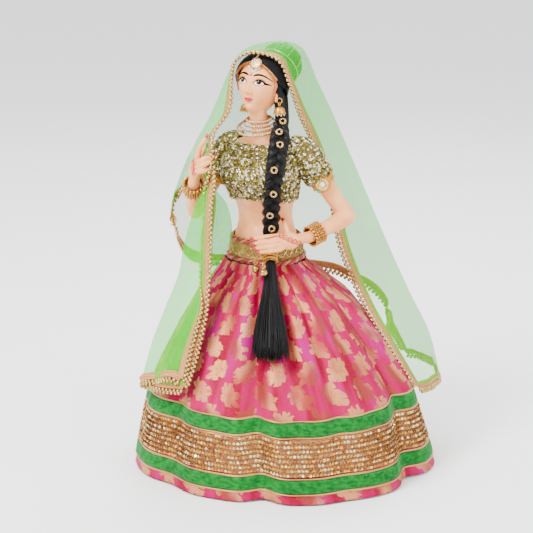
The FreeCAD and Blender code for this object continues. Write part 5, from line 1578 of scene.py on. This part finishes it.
# the hair gathered behind the ear, down to the plait
sides = np.arange(30) * TURN / 30
gathered_hair = evenly([(11, 5, 340), (12.5, 4.5, 328), (14, 3.0, 317), (16, -1, 308), (17, -7, 302)], 0.7)
ridge = 1 + 0.04 * np.sin(sides * 8)[None] + 0.03 * np.sin(sides * 13 + 1)[None]
locks.append(tube(gathered_hair, 5.6 * ridge * np.ones((len(gathered_hair), 1)), 30, start=(0.9, 0.4, 0)))
by_cheek = evenly([(13.2, -5.0, 343), (14.0, -5.6, 335), (13.8, -3.6, 327), (13.8, -2, 318),
                   (15, -4, 309)], 0.7)
locks.append(tube(by_cheek, 4.3 * ridge * np.ones((len(by_cheek), 1)), 30, start=(0.9, 0.4, 0)))
for k in range(3):
    turn = phase + TURN * k / 3
    line = (centre + across * (4.9 * taper * np.sin(turn))[:, None]
            + front * (2.1 * taper * np.sin(2 * turn))[:, None])
    sides = np.arange(30) * TURN / 30
    ridge = 1 + 0.05 * np.sin(sides * 9)[None] + 0.04 * np.sin(sides * 5 + 1)[None]
    locks.append(tube(line, 3.9 * taper[:, None] * ridge, 30, flat=0.85, start=(0.9, 0.4, 0)))
strays = []
for k in range(60):
    turn = draw.uniform(0, TURN)
    begin = draw.integers(0, len(centre) - 30)
    some = centre[begin:begin + 30]
    off = 4.4 * np.sin(phase[begin:begin + 30] + turn)[:, None] * across[begin:begin + 30]
    strays.append(tube(some + off + front[begin:begin + 30] * draw.uniform(4.6, 5.9), 0.12, 5))
piece("braid_locks", locks + [merged(*strays)], hair, replaces=["braid"], slot="hair")

petal = bead(9, 6)
shapes = [[], [], []]
run = np.linspace(0, 1, len(centre))
for k, share in enumerate((0.015, 0.123, 0.232, 0.402, 0.553, 0.723, 0.852)):
    i = int(share * (len(centre) - 1))
    out = unit(front[i] + np.array((0.1, -0.5, 0)))
    at = centre[i] + front[i] * 6.9 + across[i] * 1.0 * (-1) ** k
    axes = axes_from(out[None])[0]
    turn = np.arange(8) * TURN / 8
    spots = np.stack([np.cos(turn), np.sin(turn), 0 * turn], axis=1) @ axes.T
    shapes[0].append(scatter(petal, at + spots * 2.1, size=0.74))
    shapes[2].append(scatter(petal, at + out * 0.2, size=1.15))
    turn = np.arange(20) * TURN / 20
    spots = np.stack([np.cos(turn), np.sin(turn), 0 * turn], axis=1) @ axes.T
    shapes[1].append(scatter(small_bead, at + spots * 2.95 - out * 0.3, size=0.4))
    shapes[1].append(tube(at + spots * 2.3 - out * 0.6, 0.5, 8, closed=True))
piece("braid_flower_rings", [merged(*part) for part in shapes], [pale_gold, gold, black_paint],
      replaces=["braid_flowers"],
      slot="pearl")

down = unit(TASSEL_END - TIE)
ring_beads = []
for k, step in enumerate((-2.9, 0, 2.9)):
    spots, _ = ring_round(TIE + down * step, down, 5.3, 22)
    ring_beads.append(scatter(bead(9, 6), spots, size=1.15))
core = turned([(0, -5.4), (4.4, -5.2), (5.0, -2), (5.0, 2), (4.4, 5.2), (0, 5.4)], 28)
core = (core[0] @ axes_from(down[None])[0].T + TIE, core[1], None)
BELLS = {"left": np.array((23.5, -56.5, 184.5)), "right": np.array((12.5, -49, 185))}
BELL_RADIUS = 3.6
hangers = []
for side, at in BELLS.items():
    hang = at + (0, 0, BELL_RADIUS + 4.0)
    loop = np.stack([0 * level_turn, np.cos(level_turn), np.sin(level_turn)], axis=1)[::5] * 1.6
    hangers.append(tube(hang + loop, 0.48, 8, closed=True))
    hangers.append(tube(evenly([hang + (0, 1.6, 0), (hang + TIE) / 2 + (0, 0, 0.8), TIE], 0.8), 0.5, 8))
piece("braid_tie_beads", [merged(*ring_beads, *hangers), core], [gold, bronze], replaces=["braid_tie"],
      slot="gold_jewellery")

wide_across = unit(np.cross(down, (0.423, -0.906, 0)))
deep = np.cross(wide_across, down)
strands = []
for k in range(330):
    a, r = draw.uniform(0, TURN), math.sqrt(draw.uniform(0.12, 1))
    foot = wide_across * math.cos(a) * r * 17.5 + deep * math.sin(a) * r * 6.0
    top = wide_across * math.cos(a) * r * 3.9 + deep * math.sin(a) * r * 3.7
    end = TASSEL_END + down * draw.uniform(-4.5, 1.5) + foot
    begin = TIE + down * 4.6 + top
    span = end - begin
    swing = wide_across * draw.normal(0, 1.1) + deep * draw.normal(0, 0.5)
    line = catmull([begin, begin + span * 0.33 + (top - foot) * 0.10 + swing * 0.3,
                    begin + span * 0.68 + (top - foot) * 0.05 + swing, end], np.linspace(0, 3, 22))
    thin = np.interp(np.linspace(0, 1, 22), [0, 0.7, 1], [0.52, 0.46, 0.12])
    strands.append(tube(line, thin, 5))
levels = np.linspace(0, 1, 30)
mass = TIE + down * 4.5 + (TASSEL_END - down * 8 - TIE - down * 4.5) * levels[:, None]
turn = np.linspace(0, TURN, 60, endpoint=False)
grooved = 1 + 0.05 * np.sin(turn * 17) + 0.04 * np.sin(turn * 29 + 1)
half = np.interp(levels, [0, 0.3, 0.7, 1], [3.8, 6.0, 10.5, 14.0])
deepness = np.interp(levels, [0, 1], [3.5, 4.2])
mass = mass[:, None] + wide_across * (np.cos(turn) * grooved * half[:, None])[..., None]
mass = mass + deep * (np.sin(turn) * grooved * deepness[:, None])[..., None]
verts, faces, _ = grid(mass, True)
verts = np.concatenate([verts, [mass[0].mean(axis=0), mass[-1].mean(axis=0)]])
k = np.arange(60)
faces = np.concatenate([faces, np.stack([np.full(60, 1800), (k + 1) % 60, k, k], axis=1),
                        np.stack([np.full(60, 1801), 1740 + k, 1740 + (k + 1) % 60,
                                  1740 + (k + 1) % 60], axis=1)])
piece("tassel_hair", [merged(*strands), (verts, faces, None)], hair, body="tassel", replaces=["tassel"],
      slot="hair")

# ---- veil ---------------------------------------------------------------------------------------

# the cloth crosses from its front edge to its back edge in each row, from the corner under the right
# hand, over the head, to the other corner
VEIL = [
    [(-25, -119, 93), (-49, -113, 90), (-74, -100, 88), (-62, -103, 92), (-38, -113, 100), (-28, -115, 98)],
    [(-22, -107, 118), (-45, -102, 119), (-71, -86, 118), (-60, -85, 121), (-38, -96, 124), (-27, -101, 124)],
    [(-21, -91, 150), (-40, -87, 150), (-63, -74, 150), (-55, -66, 151), (-34, -75, 154), (-24, -84, 155)],
    [(-23, -80, 179), (-38, -75, 178), (-56, -64, 176), (-47, -55, 177), (-25, -54, 179), (-26, -70, 179)],
    [(-26, -71, 209), (-36, -68, 209), (-51, -61, 207), (-43, -50, 208), (-14, -41, 208), (-27, -61, 210)],
    [(-30, -60, 238), (-35, -58, 237), (-45, -54, 236), (-37, -46, 236), (-17, -42, 237), (-29, -51, 237)],
    [(-30, -55, 259), (-33, -54, 259), (-36, -52, 257), (-34, -48, 257), (-29, -47, 257), (-29, -51, 259)],
    [(-31, -53, 284), (-34, -51, 284), (-36, -48, 283), (-34, -44, 282), (-29, -44, 281), (-29, -49, 283)],
    [(-31, -50, 302), (-42, -41, 298), (-53, -31, 290), (-62, -21, 278), (-71, -16, 262), (-78, -16, 244)],
    [(-26, -32, 319), (-39, -27, 311), (-55, -19, 297), (-71, -17, 270), (-86, -20, 226), (-84, -19, 210)],
    [(-26, -22, 347.5), (-37, -9, 342), (-54, 1, 310), (-75, 5, 266), (-88, 3, 223), (-84, 5, 181)],
    [(-19.5, -20.5, 365), (-22.5, 1, 369), (-26, 30, 357), (-50, 32, 295), (-66, 28, 228), (-70, 26, 171)],
    [(-4, -15, 372.6), (-6, 25, 374.8), (-8, 47, 365), (-30, 50, 299), (-48, 46, 232), (-55, 43, 168)],
    [(17, -5, 366), (16.5, 26, 372), (17, 47, 361), (18, 66, 309), (15, 78, 232), (19, 82, 161)],
    [(25, 2, 344), (25, 28, 354), (25, 46, 346), (37, 68, 291), (42, 83, 219), (45, 89, 153)],
    [(29, 18, 315), (33, 33, 322), (40, 48, 316), (54, 69, 255), (63, 87, 192), (66, 92, 144)],
    [(38, 32, 282), (44, 44, 283), (57, 53, 276), (66, 70, 224), (76, 88, 167), (78, 95, 130)],
    [(52, 39, 232), (61, 49, 234), (75, 59, 231), (81, 76, 186), (82, 90, 142), (80, 97, 118)],
    [(62, 37, 193), (74, 49, 196), (91, 64, 192), (93, 82, 152), (90, 96, 122), (80, 103, 108)],
    [(85, 33, 147), (96, 49, 154), (111, 68, 149), (108, 92, 118), (96, 106, 102), (83, 112, 96)],
    [(111, 27, 113), (119, 47, 115), (128, 74, 112), (119, 97, 96), (103, 111, 88), (86, 120, 84)],
    [(137, 30, 73), (140, 50, 71), (138, 79, 70), (126, 101, 74), (108, 115, 76), (88, 124, 75)],
]
VEIL_LIFT = 0.4


def veil_points(down, over):
    """Points of the cloth: down counts its rows and over counts the points of a row."""
    rows = catmull(VEIL, down)
    return np.array([catmull(row, over) for row in rows])


ROWS, COLUMNS = 253, 76
down_veil = np.linspace(0, len(VEIL) - 1, ROWS)
over_veil = np.linspace(0, 5, COLUMNS)
cloth = veil_points(down_veil, over_veil)
along = np.gradient(cloth, axis=0)
across_veil = np.gradient(cloth, axis=1)
normals = -unit(np.cross(along, across_veil))
# soft pleats that run along the cloth, and faint creases where it was folded
i, j = down_veil[:, None], over_veil[None]
loose = np.clip(np.abs(i - 12) / 8, 0.05, 1)
ripple = 0.9 * np.sin(j * 5.2 + 0.5 * np.sin(i * 0.9)) + 0.5 * np.sin(j * 9.1 + i * 0.35)
ripple = ripple * loose * np.sin(np.pi * j / 5) ** 0.5
cloth = cloth + normals * (VEIL_LIFT + ripple[..., None] * 0.9)
steps_across = np.linalg.norm(np.diff(cloth, axis=1), axis=2)
run_across = np.concatenate([np.zeros((ROWS, 1)), np.cumsum(steps_across, axis=1)], axis=1)
steps_along = np.linalg.norm(np.diff(cloth, axis=0), axis=2)
run_along = np.concatenate([np.zeros((1, COLUMNS)), np.cumsum(steps_along, axis=0)])
veil_uv = np.stack([run_across - run_across.mean(axis=1, keepdims=True),
                    run_along.mean(axis=1, keepdims=True) + 0 * run_along], axis=2)
verts, quads, corners = grid(cloth, False, veil_uv)
veil = piece("veil_net", (verts, quads[:, ::-1], corners[:, ::-1]), net,
             replaces=["veil"], slot="green_net")

strips, beads_near, beads_far, threads = [], [], [], []


def lace_edge(line, inward, out):
    """Lace along an edge of the cloth, with two rows of beads hanging off it."""
    both = np.concatenate([line, inward, out], axis=1)
    both = respaced_with(both, 0.42)
    line, inward, out = both[:, :3], unit(both[:, 3:6]), unit(both[:, 6:])
    ribs = 0.5 + 0.16 * np.cos(np.arange(len(line)) * 0.42 * TURN / 1.27)
    strips.append(raised(line + inward * 0.3 + out * 1.0, out, 3.25, ribs, 10))
    step = 5
    spots, away, face_out = line[::step], -inward[::step], out[::step]
    near, far = slice(0, None, 2), slice(1, None, 2)
    beads_near.append(spots[near] + away[near] * 4.4 + face_out[near] * 0.8)
    beads_far.append(spots[far] + away[far] * 6.6 + face_out[far] * 0.8)
    zig = spots + away * np.where(np.arange(len(spots)) % 2, 6.6, 3.8)[:, None] + face_out * 0.8
    if len(zig) > 3:
        threads.append(tube(zig, 0.3, 5))


def respaced_with(both, step):
    """Like respaced, measured along the first three numbers of each row only."""
    run = np.concatenate([[0], np.cumsum(np.linalg.norm(np.diff(both[:, :3], axis=0), axis=1))])
    count = max(4, int(run[-1] / step) + 1)
    at = np.linspace(0, run[-1], count)
    return np.stack([np.interp(at, run, both[:, k]) for k in range(both.shape[1])], axis=1)


for edge, inner in ((0, 3), (COLUMNS - 1, COLUMNS - 4)):
    lace_edge(cloth[:, edge], unit(cloth[:, inner] - cloth[:, edge]), normals[:, edge])
for edge, inner in ((0, 4), (ROWS - 1, ROWS - 5)):
    lace_edge(cloth[edge], unit(cloth[inner] - cloth[edge]), normals[edge])
lace_strips = piece("veil_lace_strips", strips, lace, replaces=["veil_lace"], slot="lace")
lace_beads = piece("veil_lace_beads", [merged(scatter(bead(8, 5), np.concatenate(beads_near), size=1.7),
                                              scatter(bead(8, 5), np.concatenate(beads_far), size=1.7)),
                                       merged(*threads)], [champagne, gold_yarn], slot="lace")

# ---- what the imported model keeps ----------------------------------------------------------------
KEPT = {"base_disc": (pale_wood, "base_wood"), "stand_dowel": (dowel_wood, "dowel_wood"),
        "shoulder_pins": (steel, "steel_wire"), "ear_hooks": (gold, "gold_jewellery"),
        "bell_left": (brass, "bell_brass"), "bell_right": (brass, "bell_brass"),
        "bell_pellet_left": (brass, "bell_brass"), "bell_pellet_right": (brass, "bell_brass")}
for name, (material, slot) in KEPT.items():
    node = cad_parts[name]
    node.data.materials.clear()
    node.data.materials.append(material)

floor_look = Look("studio paper", rough=0.9, gloss=0.1)
floor_look.put(colour=floor_look.mixed(floor_look.noise(60, detail=2), (0.94, 0.94, 0.94),
                                       (0.96, 0.96, 0.96)))
spread = 6000.0
floor_data = bpy.data.meshes.new("floor")
floor_data.from_pydata([(x * spread * MM, y * spread * MM, -0.0002)
                        for x, y in ((-1, -1), (1, -1), (1, 1), (-1, 1))],
                       [], [(0, 1, 2, 3)])
floor_data.materials.append(floor_look.material)
floor = bpy.data.objects.new("floor", floor_data)
bpy.context.scene.collection.objects.link(floor)
